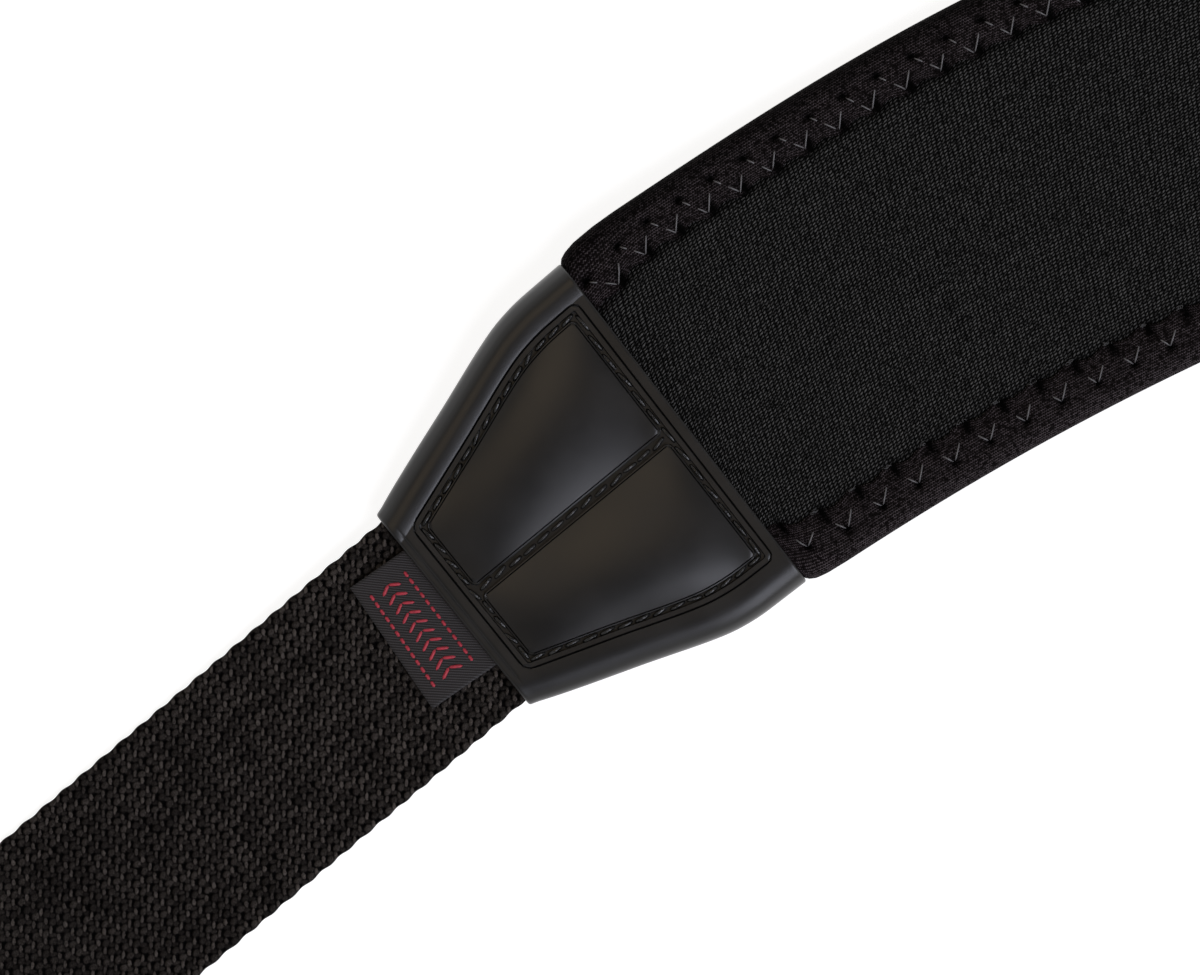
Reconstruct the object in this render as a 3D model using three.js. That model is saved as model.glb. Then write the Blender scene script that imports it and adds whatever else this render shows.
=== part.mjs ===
// Camera neck strap, laid flat with its face up: a curved foam pad with bound edges, a moulded
// cap on each end of the pad, and from each cap a strap of webbing sewn round a plain ring.
// Millimetres. +X runs from the labelled end to the other one, +Y to the pad's convex edge,
// +Z up; the origin is under the middle of the whole strap, on the surface that it lies on.
import * as THREE from 'three';
import { mergeVertices } from 'three/addons/utils/BufferGeometryUtils.js';

const GAP = 0.3; // clearance between pieces that touch on the real strap

// Pad
const PAD_LENGTH = 380; // between the caps, along its middle line
const PAD_WIDTH = 71.6; // over the bound edges, half way along
const PAD_END_TAPER = 0.95; // taken off each side near the caps
const PAD_TAPER_LENGTH = 80; // stretch in which that is taken off
const PAD_SWELL_LENGTH = 10; // stretch in which the pad swells out of a cap
const PAD_THICKNESS = 4.6;
const PAD_EDGE_THICKNESS = 3.2; // pressed together by the binding
const PAD_SHOULDER = 1.5; // slope from there up to the full thickness
const PAD_TUCK = 37; // stretch hidden in a cap
const BEND_RADIUS = 400; // of the middle line, along most of the pad
const BEND_END_RADIUS = 1500; // of the middle line, where it leaves a cap
const BEND_RAMP = 60; // stretch in which the bend tightens
const SAG_LENGTH = 50; // stretch in which pad and webbing come down from a cap

// Binding along each long edge
const BINDING_WIDTH = 10;
const BINDING_WALL = 1;
const BINDING_TUCK = 8; // stretch hidden in a cap

// Caps
const CAP_LENGTH = 49.4;
const CAP_WALL = 1.8;
const CAP_SIDE_GAP = 0.6; // beside the pad inside, as a cap's ends are out of square
const CAP_SIDE_WALL = 1; // beside the webbing
const CAP_LIP = 1.35; // wider than the webbing, each side
const CAP_SQUEEZE = 1.75; // narrower than the pad beside it, each side
const CAP_RIM = 6; // from the edge to the thin groove, along the sides
const CAP_NARROW_RIM = 3.2; // the same at the webbing
const CAP_MOUTH_RIM = 1.9; // the same at the pad
const CAP_ROUND = 5; // rounding of the sides
const CAP_END_ROUND = 0.4; // rounding of the two end edges
const CAP_TURN = 6.1; // degrees between the cap and the end of the pad
const CAP_TURN_LENGTH = 10; // stretch at the mouth in which the pad makes that turn
const CAP_NARROW_SKEW = 1.2; // degrees that the end at the webbing is out of square
const CAP_MOUTH_SKEW = 2.3; // degrees that the mouth is out of square
const CHANNEL_WIDTH = 2.2; // sunk channel for the seam, inside the groove
const CHANNEL_DEPTH = 0.5;

// Webbing, its sewn loops and the rings in them
const WEBBING_WIDTH = 38.1;
const WEBBING_THICKNESS = 1.9;
const WEBBING_LENGTH = 240; // from a cap to the outside of the loop
const WEBBING_TUCK = 10; // stretch hidden in a cap
const TAIL_LENGTH = 45; // folded back under the strap
const TAIL_RISE = 9; // stretch in which the strap climbs over the tail
const LOOP_SLACK = 0.8; // between the loop and the ring's bar, above and below
const RING_THICKNESS = 3;
const RING_BAR = 4;
const RING_GAP = 12; // between the two long bars
const RING_SIDE_PLAY = 0.7; // between webbing and ring, each side
const RING_CORNER = 4;

// Label on the webbing, half under one cap
const LABEL_WIDTH = 24.3;
const LABEL_LENGTH = 11.9; // seen, along its middle
const LABEL_THICKNESS = 1;
const LABEL_TURN = 5.8; // degrees that it is sewn out of square
const LABEL_OFFSET = 1.9; // of its free edge, towards the convex side

// Swelling of the pad out of a cap: shares of PAD_SWELL_LENGTH and of the width it gains
const PAD_SWELL = [
  { along: 0, gained: 0 },
  { along: 0.1, gained: 0.03 },
  { along: 0.2, gained: 0.5 },
  { along: 0.35, gained: 0.77 },
  { along: 0.6, gained: 0.93 },
  { along: 1, gained: 1 },
];

// Cap's outline: shares of CAP_LENGTH from the webbing, and of the half width it gains
const CAP_SPREAD = [
  { along: 0, gained: 0 },
  { along: 0.1, gained: 0.13 },
  { along: 0.4, gained: 0.52 },
  { along: 0.6, gained: 0.8 },
  { along: 0.7, gained: 0.92 },
  { along: 0.8, gained: 0.98 },
  { along: 1, gained: 1 },
];

// Cap's face: distance inside the groove in shares of CHANNEL_WIDTH, height in CHANNEL_DEPTH
const CAP_RELIEF = [
  { inside: -0.45, height: 0 },
  { inside: 0, height: -0.3 },
  { inside: 0.45, height: -1 },
  { inside: 1, height: -0.4 },
  { inside: 1.45, height: 0.7 },
  { inside: 3.6, height: 1.6 },
];

const { degToRad, lerp, clamp, smoothstep } = THREE.MathUtils;

// Sizes that follow
const EDGE_HALF = PAD_EDGE_THICKNESS / 2 + GAP + BINDING_WALL;
const CAP_LIFT = CAP_WALL + GAP;
const CAP_MOUTH_HEIGHT = 2 * (CAP_LIFT + EDGE_HALF);
const CAP_NARROW_HEIGHT = 2 * CAP_LIFT + WEBBING_THICKNESS;
const CAP_MOUTH_HALF = PAD_WIDTH / 2 - PAD_END_TAPER - CAP_SQUEEZE;
const CAP_NARROW_HALF = WEBBING_WIDTH / 2 + CAP_LIP;
const LOOP_INNER_RADIUS = RING_THICKNESS / 2 + LOOP_SLACK;
const LOOP_CENTRE_HEIGHT = WEBBING_THICKNESS + LOOP_INNER_RADIUS;
const LOOP_CENTRE = WEBBING_LENGTH - WEBBING_THICKNESS - LOOP_INNER_RADIUS;
const BAR_CENTRE = LOOP_CENTRE - RING_BAR / 2 + LOOP_SLACK;

const RUBBER = { color: 0x2a2b2d, roughness: 0.42, metalness: 0 };
const FOAM = { color: 0x1b1d1c, roughness: 0.95, metalness: 0 };
const TRICOT = { color: 0x1a1718, roughness: 0.85, metalness: 0 };
const WEAVE = { color: 0x1e1c19, roughness: 0.7, metalness: 0 };
const SATIN = { color: 0x1c1b1c, roughness: 0.5, metalness: 0 };
const PLASTIC = { color: 0x18191a, roughness: 0.5, metalness: 0 };

// Value of a table at a place, straight between its rows
function lookUp(rows, key, place, value) {
  const next = rows.findIndex((row) => row[key] > place);
  if (next === 0) return rows[0][value];
  if (next < 0) return rows.at(-1)[value];
  const from = rows[next - 1];
  const to = rows[next];
  return lerp(from[value], to[value], (place - from[key]) / (to[key] - from[key]));
}

// Closed section ring, anticlockwise, from its half that runs from the top middle by the
// +across side to the bottom middle
function wholeRing(half) {
  const mirrored = half.slice(1, -1).map(([across, up]) => [-across, up]);
  return [...half].reverse().concat(mirrored);
}

// Points of a rounded side from straight up to straight down, about a centre
function sideRound(centre, middle, width, height, angles) {
  return angles.map((angle) => [
    centre + width * Math.cos(degToRad(angle)),
    middle + height * Math.sin(degToRad(angle)),
  ]);
}

// Faces between rings of points, one ring after another
function ringFaces(count, pairs) {
  return pairs.flatMap(([from, to]) =>
    Array.from({ length: count }, (_, i) => {
      const next = (i + 1) % count;
      const [a, b, c, d] = [from + i, from + next, to + i, to + next];
      return [a, b, d, a, d, c];
    }).flat(),
  );
}

function meshSolid(rings, index) {
  const geometry = new THREE.BufferGeometry();
  const numbers = rings.flat().flatMap((point) => point.toArray());
  geometry.setAttribute('position', new THREE.Float32BufferAttribute(numbers, 3));
  geometry.setIndex(index);
  return geometry;
}

// Solid bar through rings of points, shut at both ends by the section's own faces
function barSolid(rings, section) {
  const count = section.length;
  const pairs = rings.slice(1).map((_, r) => [r * count, (r + 1) * count]);
  const index = ringFaces(count, pairs);
  const last = (rings.length - 1) * count;
  const contour = section.map(([across, up]) => new THREE.Vector2(across, up));
  for (const [a, b, c] of THREE.ShapeUtils.triangulateShape(contour, [])) {
    index.push(a, c, b, last + a, last + b, last + c);
  }
  return meshSolid(rings, index);
}

// Sleeve through rings of points that go out along its outside and back along its inside
function sleeveSolid(rings) {
  const count = rings[0].length;
  const pairs = rings.map((_, r) => [r * count, ((r + 1) % rings.length) * count]);
  return meshSolid(rings, ringFaces(count, pairs));
}

// Middle line of the pad

// Angle that the line has turned at a distance from a cap's mouth, below zero inside the cap
function turnAt(distance) {
  const share = clamp(distance / CAP_TURN_LENGTH + 0.5, 0, 1);
  const ramp = clamp(distance, 0, BEND_RAMP);
  const tightening = (1 / BEND_RADIUS - 1 / BEND_END_RADIUS) / (2 * BEND_RAMP);
  const beyond = Math.max(distance - BEND_RAMP, 0) / BEND_RADIUS;
  return degToRad(CAP_TURN) * share + ramp / BEND_END_RADIUS + tightening * ramp ** 2 + beyond;
}

const CAP_HEADING = turnAt(PAD_LENGTH / 2);

function headingAt(place) {
  const turned = CAP_HEADING - turnAt(PAD_LENGTH / 2 - Math.abs(place));
  return -Math.sign(place) * turned;
}

// Point of the line at a place along it, counted from the middle of the pad
function linePoint(place) {
  const steps = 240;
  const step = place / steps;
  const point = new THREE.Vector2();
  for (let i = 0; i < steps; i++) {
    const angle = headingAt((i + 0.5) * step);
    point.x += step * Math.cos(angle);
    point.y += step * Math.sin(angle);
  }
  return point;
}

// Middle of the left cap's mouth, on the straight stretch of the line that runs in the cap
function mouthPoint() {
  const straight = linePoint(-(PAD_LENGTH + CAP_TURN_LENGTH) / 2);
  straight.x += (CAP_TURN_LENGTH / 2) * Math.cos(CAP_HEADING);
  straight.y += (CAP_TURN_LENGTH / 2) * Math.sin(CAP_HEADING);
  return straight;
}

// Height of what hangs between a cap and the surface, above where it ends up
function sagAt(distance) {
  return CAP_LIFT * (1 - smoothstep(distance, 0, SAG_LENGTH));
}

// Cap

function capHalf(along) {
  const gained = lookUp(CAP_SPREAD, 'along', along / CAP_LENGTH, 'gained');
  return lerp(CAP_NARROW_HALF, CAP_MOUTH_HALF, gained);
}

function capHeight(along) {
  return lerp(CAP_NARROW_HEIGHT, CAP_MOUTH_HEIGHT, along / CAP_LENGTH);
}

function capInnerHalf(along) {
  return capHalf(along) - lerp(CAP_SIDE_WALL, CAP_WALL, along / CAP_LENGTH);
}

// Height of the cap's face over its rim, at a distance along and across
function capRelief(along, across) {
  const inside = Math.min(
    capHalf(along) - CAP_RIM - Math.abs(across),
    along - CAP_NARROW_RIM,
    CAP_LENGTH - CAP_MOUTH_RIM - along,
    Math.abs(across) + 0.45 * CHANNEL_WIDTH,
  );
  return CHANNEL_DEPTH * lookUp(CAP_RELIEF, 'inside', inside / CHANNEL_WIDTH, 'height');
}

// Distances along the cap at which its face has a line
function capStations() {
  const panelStart = CAP_NARROW_RIM + 1.45 * CHANNEL_WIDTH;
  const panelEnd = CAP_LENGTH - CAP_MOUTH_RIM - 1.45 * CHANNEL_WIDTH;
  const seamLines = [-0.45, 0, 0.45, 1];
  const between = [0, 0.12, 0.3, 0.5, 0.68, 0.82, 0.92, 1];
  return [
    0,
    CAP_END_ROUND,
    ...seamLines.map((share) => CAP_NARROW_RIM + share * CHANNEL_WIDTH),
    ...between.map((share) => lerp(panelStart, panelEnd, share)),
    ...seamLines.toReversed().map((share) => CAP_LENGTH - CAP_MOUTH_RIM - share * CHANNEL_WIDTH),
    CAP_LENGTH - CAP_END_ROUND,
    CAP_LENGTH,
  ];
}

// Half widths at which the face has a line, from the middle out to the rounded side
function capColumns(along) {
  const groove = capHalf(along) - CAP_RIM;
  return [
    0,
    0.55 * CHANNEL_WIDTH,
    CHANNEL_WIDTH,
    groove / 2,
    groove - 1.45 * CHANNEL_WIDTH,
    groove - CHANNEL_WIDTH,
    groove - 0.45 * CHANNEL_WIDTH,
    groove,
  ];
}

const CAP_SIDE_ANGLES = [90, 65, 40, 18, 0, -30, -60, -90];

function capOuterHalf(along) {
  const middle = capHeight(along) / 2;
  const fromEnd = Math.min(along, CAP_LENGTH - along);
  const top = capHeight(along) - Math.max(CAP_END_ROUND - fromEnd, 0);
  const centre = capHalf(along) - CAP_ROUND;
  const face = capColumns(along).map((across) => [across, top + capRelief(along, across)]);
  const side = sideRound(centre, middle, CAP_ROUND, middle, CAP_SIDE_ANGLES);
  side[0][1] = top;
  return [...face, ...side, [centre / 2, 0], [0, 0]];
}

function capInnerSection(along) {
  const middle = capHeight(along) / 2;
  const room = middle - CAP_WALL;
  const half = capInnerHalf(along);
  const round = lerp(GAP, CAP_ROUND - CAP_WALL, along / CAP_LENGTH);
  const face = capColumns(along).map((across) => [across, middle + room]);
  const side = sideRound(half - round, middle, round, room, CAP_SIDE_ANGLES);
  const floor = middle - room;
  return [...face, ...side, [(half - round) / 2, floor], [0, floor]];
}

function capGeometry() {
  const stations = capStations();
  const place = (along) => ([across, up]) => {
    const skew = lerp(CAP_NARROW_SKEW, CAP_MOUTH_SKEW, along / CAP_LENGTH);
    const x = along - CAP_LENGTH + across * Math.tan(degToRad(skew));
    return new THREE.Vector3(x, across, up);
  };
  const outside = stations.map((along) => wholeRing(capOuterHalf(along)).map(place(along)));
  const insideStations = CAP_SPREAD.map((row) => row.along * CAP_LENGTH).reverse();
  const inside = insideStations.map((along) =>
    wholeRing(capInnerSection(along)).map(place(along)),
  );
  return sleeveSolid([...outside, ...inside]);
}

// Pad and binding

// Half width, half height over the binding, and middle height at a distance from a mouth
function padShape(distance) {
  const along = Math.min(CAP_LENGTH + distance, CAP_LENGTH);
  const tucked = capInnerHalf(along) - CAP_SIDE_GAP;
  if (distance < 0) {
    const middle = capHeight(along) / 2;
    return { half: tucked, edge: middle - CAP_LIFT, middle };
  }
  const taper = PAD_END_TAPER * (1 - smoothstep(distance, 0, PAD_TAPER_LENGTH));
  const gained = lookUp(PAD_SWELL, 'along', distance / PAD_SWELL_LENGTH, 'gained');
  const half = lerp(tucked, PAD_WIDTH / 2 - taper, gained);
  return { half, edge: EDGE_HALF, middle: EDGE_HALF + sagAt(distance) };
}

const EDGE_ANGLES = [90, 60, 30, 0, -30, -60, -90];

function foamSection(distance) {
  const { half, edge, middle } = padShape(distance);
  const bound = distance > -BINDING_TUCK - GAP;
  const full = Math.min(PAD_THICKNESS / 2, edge);
  const inset = bound ? BINDING_WALL + GAP : 0;
  const pressed = bound ? edge - inset : full;
  const foot = half - BINDING_WIDTH - GAP;
  const shoulder = foot - PAD_SHOULDER;
  const side = sideRound(half - EDGE_HALF, middle, EDGE_HALF - inset, pressed, EDGE_ANGLES);
  const upper = [[0, middle + full], [shoulder, middle + full], [foot, middle + pressed]];
  const lower = [[foot, middle - pressed], [shoulder, middle - full], [0, middle - full]];
  return wholeRing([...upper, ...side, ...lower]);
}

function bindingSection(distance, side) {
  const { half, edge, middle } = padShape(distance);
  const centre = half - EDGE_HALF;
  const start = half - BINDING_WIDTH;
  const hollow = edge - BINDING_WALL;
  const outer = sideRound(centre, middle, EDGE_HALF, edge, EDGE_ANGLES);
  const inner = sideRound(centre, middle, EDGE_HALF - BINDING_WALL, hollow, EDGE_ANGLES);
  const tips = [[start, middle - edge], [start, middle - hollow]];
  const topTips = [[start, middle + hollow], [start, middle + edge]];
  const ring = [...outer, ...tips, ...inner.reverse(), ...topTips];
  const faced = ring.map(([across, up]) => [side * across, up]);
  return side > 0 ? faced.reverse() : faced;
}

// Distances from a mouth at which the pad has a section, from inside the cap to its middle
function padDistances(hidden) {
  const swell = PAD_SWELL.map((row) => row.along * PAD_SWELL_LENGTH);
  const count = 12;
  const rest = Array.from({ length: count }, (_, i) =>
    lerp(PAD_SWELL_LENGTH, PAD_LENGTH / 2, (i + 1) / count),
  );
  return [...hidden, ...swell, ...rest];
}

// Bar along the middle line, with the section that a function gives at each distance
function alongPad(hidden, sectionAt) {
  const distances = padDistances(hidden);
  const left = distances.map((distance) => ({ distance, place: distance - PAD_LENGTH / 2 }));
  const right = left.slice(0, -1).map(({ distance, place }) => ({ distance, place: -place }));
  const stations = [...left, ...right.reverse()];
  const rings = stations.map(({ distance, place }) => {
    const origin = linePoint(place);
    const angle = headingAt(place);
    return sectionAt(distance).map(([across, up]) =>
      new THREE.Vector3(
        origin.x - across * Math.sin(angle),
        origin.y + across * Math.cos(angle),
        up,
      ),
    );
  });
  return barSolid(rings, sectionAt(distances[0]));
}

function padGeometry() {
  const bound = BINDING_TUCK + GAP;
  const hidden = [-PAD_TUCK, -0.6 * PAD_TUCK, -bound - 2 * GAP, -bound + 0.1 * GAP];
  return alongPad([...hidden, -CAP_TURN_LENGTH / 2], foamSection);
}

function bindingGeometry(side) {
  const hidden = [-BINDING_TUCK, -CAP_TURN_LENGTH / 2];
  return alongPad(hidden, (distance) => bindingSection(distance, side));
}

// Webbing, ring and label, in the left cap's frame: +X to the pad, the mouth at zero

// Outline of a strap seen from its side, along a path of points
function ribbonOutline(path, thickness) {
  const offset = (side) => path.map((point, i) => {
    const before = path[Math.max(i - 1, 0)];
    const after = path[Math.min(i + 1, path.length - 1)];
    const incoming = point.clone().sub(i > 0 ? before : point).normalize();
    const outgoing = after.clone().sub(i < path.length - 1 ? point : before).normalize();
    const along = incoming.add(outgoing).normalize();
    const half = (side * thickness) / 2 / along.dot(outgoing);
    return new THREE.Vector2(point.x - along.y * half, point.y + along.x * half);
  });
  return [...offset(1), ...offset(-1).reverse()];
}

// Middle of the webbing seen from its side: distance from the cap, and height
function webbingPath() {
  const low = WEBBING_THICKNESS / 2;
  const overTail = low + WEBBING_THICKNESS + GAP;
  const tailEnd = WEBBING_LENGTH - TAIL_LENGTH;
  const slotStart = BAR_CENTRE - RING_BAR / 2 - LOOP_SLACK;
  const radius = LOOP_INNER_RADIUS + low;
  const sag = [0, 0.15, 0.3, 0.45, 0.6, 0.75, 0.9, 1].map((share) => share * SAG_LENGTH);
  const loopAngles = [90, 65, 40, 13, -13, -40, -65, -90];
  return [
    [-WEBBING_TUCK, low + CAP_LIFT],
    ...sag.map((distance) => [distance, low + sagAt(distance)]),
    [tailEnd - TAIL_RISE, low],
    [tailEnd - GAP, overTail],
    [slotStart - TAIL_RISE, overTail],
    [slotStart, LOOP_CENTRE_HEIGHT + radius],
    ...sideRound(LOOP_CENTRE, LOOP_CENTRE_HEIGHT, radius, radius, loopAngles),
    [tailEnd, low],
  ].map(([distance, up]) => new THREE.Vector2(-CAP_LENGTH - distance, up));
}

function webbingGeometry() {
  const shape = new THREE.Shape(ribbonOutline(webbingPath(), WEBBING_THICKNESS));
  const settings = { depth: WEBBING_WIDTH, bevelEnabled: false };
  const geometry = new THREE.ExtrudeGeometry(shape, settings);
  return geometry.rotateX(Math.PI / 2).translate(0, WEBBING_WIDTH / 2, 0);
}

// Rectangle with rounded corners, about the origin
function roundedRectangle(target, length, width, corner) {
  const [x, y] = [length / 2, width / 2];
  target.moveTo(x, y - corner);
  target.absarc(x - corner, y - corner, corner, 0, Math.PI / 2);
  target.absarc(corner - x, y - corner, corner, Math.PI / 2, Math.PI);
  target.absarc(corner - x, corner - y, corner, Math.PI, 1.5 * Math.PI);
  target.absarc(x - corner, corner - y, corner, 1.5 * Math.PI, 2 * Math.PI);
  return target;
}

// Ring about the middle of the bar in the loop, reaching away from the strap along -X
function ringGeometry() {
  const innerWidth = WEBBING_WIDTH + 2 * RING_SIDE_PLAY;
  const length = RING_GAP + 2 * RING_BAR;
  const shape = roundedRectangle(
    new THREE.Shape(), length, innerWidth + 2 * RING_BAR, RING_CORNER,
  );
  shape.holes.push(roundedRectangle(new THREE.Path(), RING_GAP, innerWidth, RING_SIDE_PLAY));
  const settings = { depth: RING_THICKNESS, bevelEnabled: false, curveSegments: 4 };
  const geometry = new THREE.ExtrudeGeometry(shape, settings);
  return geometry.translate(-(RING_GAP + RING_BAR) / 2, 0, -RING_THICKNESS / 2);
}

// Slope at which the ring's far bar comes down to the surface
function ringTilt() {
  const reach = RING_GAP + 1.5 * RING_BAR;
  const drop = RING_THICKNESS / 2;
  return Math.asin(LOOP_CENTRE_HEIGHT / Math.hypot(reach, drop)) - Math.atan2(drop, reach);
}

// Label as a strip cut off along the cap's end, GAP above the webbing
function labelGeometry() {
  const turn = degToRad(LABEL_TURN);
  const endSkew = Math.tan(degToRad(CAP_NARROW_SKEW));
  const point = (share, side, layer) => {
    const across = LABEL_OFFSET + (side * LABEL_WIDTH * Math.cos(turn)) / 2;
    const farX = -CAP_LENGTH - LABEL_LENGTH + (side * LABEL_WIDTH * Math.sin(turn)) / 2;
    const nearAcross = across + (farX + CAP_LENGTH) * Math.tan(turn);
    const nearX = -CAP_LENGTH - GAP + nearAcross * endSkew;
    const x = lerp(farX, nearX, share);
    const top = WEBBING_THICKNESS + sagAt(-CAP_LENGTH - x);
    return new THREE.Vector3(x, lerp(across, nearAcross, share), top + GAP + layer);
  };
  const rings = [0, 0.35, 0.7, 1].map((share) => [
    point(share, -1, 0),
    point(share, 1, 0),
    point(share, 1, LABEL_THICKNESS),
    point(share, -1, LABEL_THICKNESS),
  ]);
  return barSolid(rings, rings[0].map(({ y, z }) => [y, z]));
}

// Whole strap

function piece(name, geometry, finish) {
  const mesh = new THREE.Mesh(geometry, new THREE.MeshStandardMaterial(finish));
  mesh.name = name;
  return mesh;
}

// The same solid for the left end, or turned round left to right for the other one
function facing(geometry, toPad) {
  geometry.deleteAttribute('normal');
  geometry.deleteAttribute('uv');
  const solid = mergeVertices(geometry);
  if (toPad > 0) return solid;
  const { position } = solid.attributes;
  for (let i = 0; i < position.count; i++) position.setX(i, -position.getX(i));
  solid.setIndex(Array.from(solid.index.array).reverse());
  return solid;
}

function strapEnd(name, toPad) {
  const end = new THREE.Group();
  const mouth = mouthPoint();
  end.position.set(toPad * mouth.x, mouth.y, 0);
  end.rotation.z = toPad * CAP_HEADING;
  const ring = piece(`end_ring_${name}`, ringGeometry(), PLASTIC);
  if (toPad < 0) ring.rotation.set(0, 0, Math.PI);
  const barX = -CAP_LENGTH - BAR_CENTRE;
  const holder = new THREE.Group();
  holder.position.set(toPad * barX, 0, LOOP_CENTRE_HEIGHT);
  holder.rotation.y = -toPad * ringTilt();
  holder.add(ring);
  end.add(
    piece(`cap_${name}`, facing(capGeometry(), toPad), RUBBER),
    piece(`webbing_${name}`, facing(webbingGeometry(), toPad), WEAVE),
    holder,
  );
  return end;
}

const leftEnd = strapEnd('left', 1);
leftEnd.add(piece('label', labelGeometry(), SATIN));

const strap = new THREE.Group();
strap.add(
  piece('pad', padGeometry(), FOAM),
  piece('binding_outer', bindingGeometry(1), TRICOT),
  piece('binding_inner', bindingGeometry(-1), TRICOT),
  leftEnd,
  strapEnd('right', -1),
);

const box = new THREE.Box3().setFromObject(strap);
const centre = box.getCenter(new THREE.Vector3());
strap.position.set(-centre.x, -centre.y, -box.min.z);

const group = new THREE.Group();
group.add(strap);

export default group;
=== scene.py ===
import math

import bpy
import numpy as np
from mathutils import Matrix, Vector


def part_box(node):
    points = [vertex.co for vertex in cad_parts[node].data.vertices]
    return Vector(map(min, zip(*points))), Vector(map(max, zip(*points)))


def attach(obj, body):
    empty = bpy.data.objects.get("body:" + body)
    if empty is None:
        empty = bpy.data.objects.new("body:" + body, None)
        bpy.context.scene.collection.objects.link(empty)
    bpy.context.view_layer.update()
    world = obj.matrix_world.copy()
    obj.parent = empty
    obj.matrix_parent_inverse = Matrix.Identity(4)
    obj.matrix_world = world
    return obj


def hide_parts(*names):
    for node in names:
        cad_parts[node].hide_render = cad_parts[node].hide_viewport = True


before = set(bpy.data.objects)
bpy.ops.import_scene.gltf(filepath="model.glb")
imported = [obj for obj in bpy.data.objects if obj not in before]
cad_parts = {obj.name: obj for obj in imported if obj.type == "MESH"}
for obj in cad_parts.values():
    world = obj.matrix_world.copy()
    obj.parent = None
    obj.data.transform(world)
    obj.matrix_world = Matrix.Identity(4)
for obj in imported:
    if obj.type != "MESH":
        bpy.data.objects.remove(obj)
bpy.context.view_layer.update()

# Camera neck strap lying flat with its face up. Shapes are worked out in millimetres, in the frame
# that has the middle of the pad's middle line at its origin, and turned into metres at the end.
MM = 0.001
rng = np.random.default_rng(11)

# Sizes that the CAD model has too
GAP = 0.3
PAD_LENGTH = 380
PAD_WIDTH = 71.6
PAD_END_TAPER = 0.95
PAD_TAPER_LENGTH = 80
PAD_SWELL_LENGTH = 10
PAD_THICKNESS = 4.6
PAD_EDGE_THICKNESS = 3.2
PAD_TUCK = 37
BEND_RADIUS = 400
BEND_END_RADIUS = 1500
BEND_RAMP = 60
SAG_LENGTH = 50
BINDING_WIDTH = 10
BINDING_WALL = 1
BINDING_TUCK = 8
CAP_LENGTH = 49.4
CAP_WALL = 1.8
CAP_SIDE_GAP = 0.6
CAP_SIDE_WALL = 1
CAP_LIP = 1.35
CAP_SQUEEZE = 1.75
CAP_NARROW_RIM = 3.2
CAP_MOUTH_RIM = 1.9
CAP_ROUND = 5
CAP_END_ROUND = 0.4
CAP_TURN = math.radians(6.1)
CAP_TURN_LENGTH = 10
CAP_NARROW_SKEW = 1.2
CAP_MOUTH_SKEW = 2.3
WEBBING_WIDTH = 38.1
WEBBING_THICKNESS = 1.9
WEBBING_LENGTH = 240
WEBBING_TUCK = 10
TAIL_LENGTH = 45
TAIL_RISE = 9
LOOP_SLACK = 0.8
RING_THICKNESS = 3
RING_BAR = 4
RING_GAP = 12
RING_SIDE_PLAY = 0.7
RING_CORNER = 4
LABEL_WIDTH = 24.3
LABEL_LENGTH = 11.9
LABEL_TURN = math.radians(5.8)
LABEL_OFFSET = 1.9
LABEL_TUCK = 1.2
PAD_SWELL = ([0, 0.02, 0.06, 0.15, 0.3, 0.6, 1], [0, 0.45, 0.62, 0.76, 0.88, 0.97, 1])
CAP_SPREAD = ([0, 0.1, 0.4, 0.6, 0.7, 0.8, 1], [0, 0.13, 0.52, 0.8, 0.92, 0.98, 1])

EDGE_HALF = PAD_EDGE_THICKNESS / 2 + GAP + BINDING_WALL
CAP_LIFT = CAP_WALL + GAP
CAP_MOUTH_HEIGHT = 2 * (CAP_LIFT + EDGE_HALF)
CAP_NARROW_HEIGHT = 2 * CAP_LIFT + WEBBING_THICKNESS
CAP_MOUTH_HALF = PAD_WIDTH / 2 - PAD_END_TAPER - CAP_SQUEEZE
CAP_NARROW_HALF = WEBBING_WIDTH / 2 + CAP_LIP
LOOP_INNER_RADIUS = RING_THICKNESS / 2 + LOOP_SLACK
LOOP_CENTRE_HEIGHT = WEBBING_THICKNESS + LOOP_INNER_RADIUS
LOOP_CENTRE = WEBBING_LENGTH - WEBBING_THICKNESS - LOOP_INNER_RADIUS
BAR_CENTRE = LOOP_CENTRE - RING_BAR / 2 + LOOP_SLACK

# Camera, straight above the left end as in the photograph
PHOTO_WIDTH = 1200
PHOTO_SCALE = 0.1659  # millimetres a pixel
PHOTO_ROLL = math.radians(9.95)
PHOTO_CENTRE = (-17.6, 0.0)  # along and across the left cap, from the middle of its mouth
LENS = 300
SENSOR = 36

# Distance from the mouth where the pad swings out, on its convex edge and its concave one
SWELL_START = {1: -0.6, -1: 0.2}
# The outside leans to one side, its edges a little more: at the narrow end and at the mouth
CAP_SHIFT = (-0.07, -0.68)
EDGE_SHIFT = (0.24, 0.03)

# Sine of the elevation where the walls end and the ceiling starts, and the light of each
CEILING = (0.5, 0.7, 0.62, 0.06)
# Image direction and zenith angle in degrees, distance and sizes in metres, colour and radiance
SOFTBOXES = (
    ("key", -38, 42, 2.4, (1.9, 1.6), (0.86, 0.88, 1.0), 4.2),
    ("fill", 140, 22, 2.8, (1.9, 1.7), (1.0, 0.8, 0.56), 0.9),
)

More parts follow.
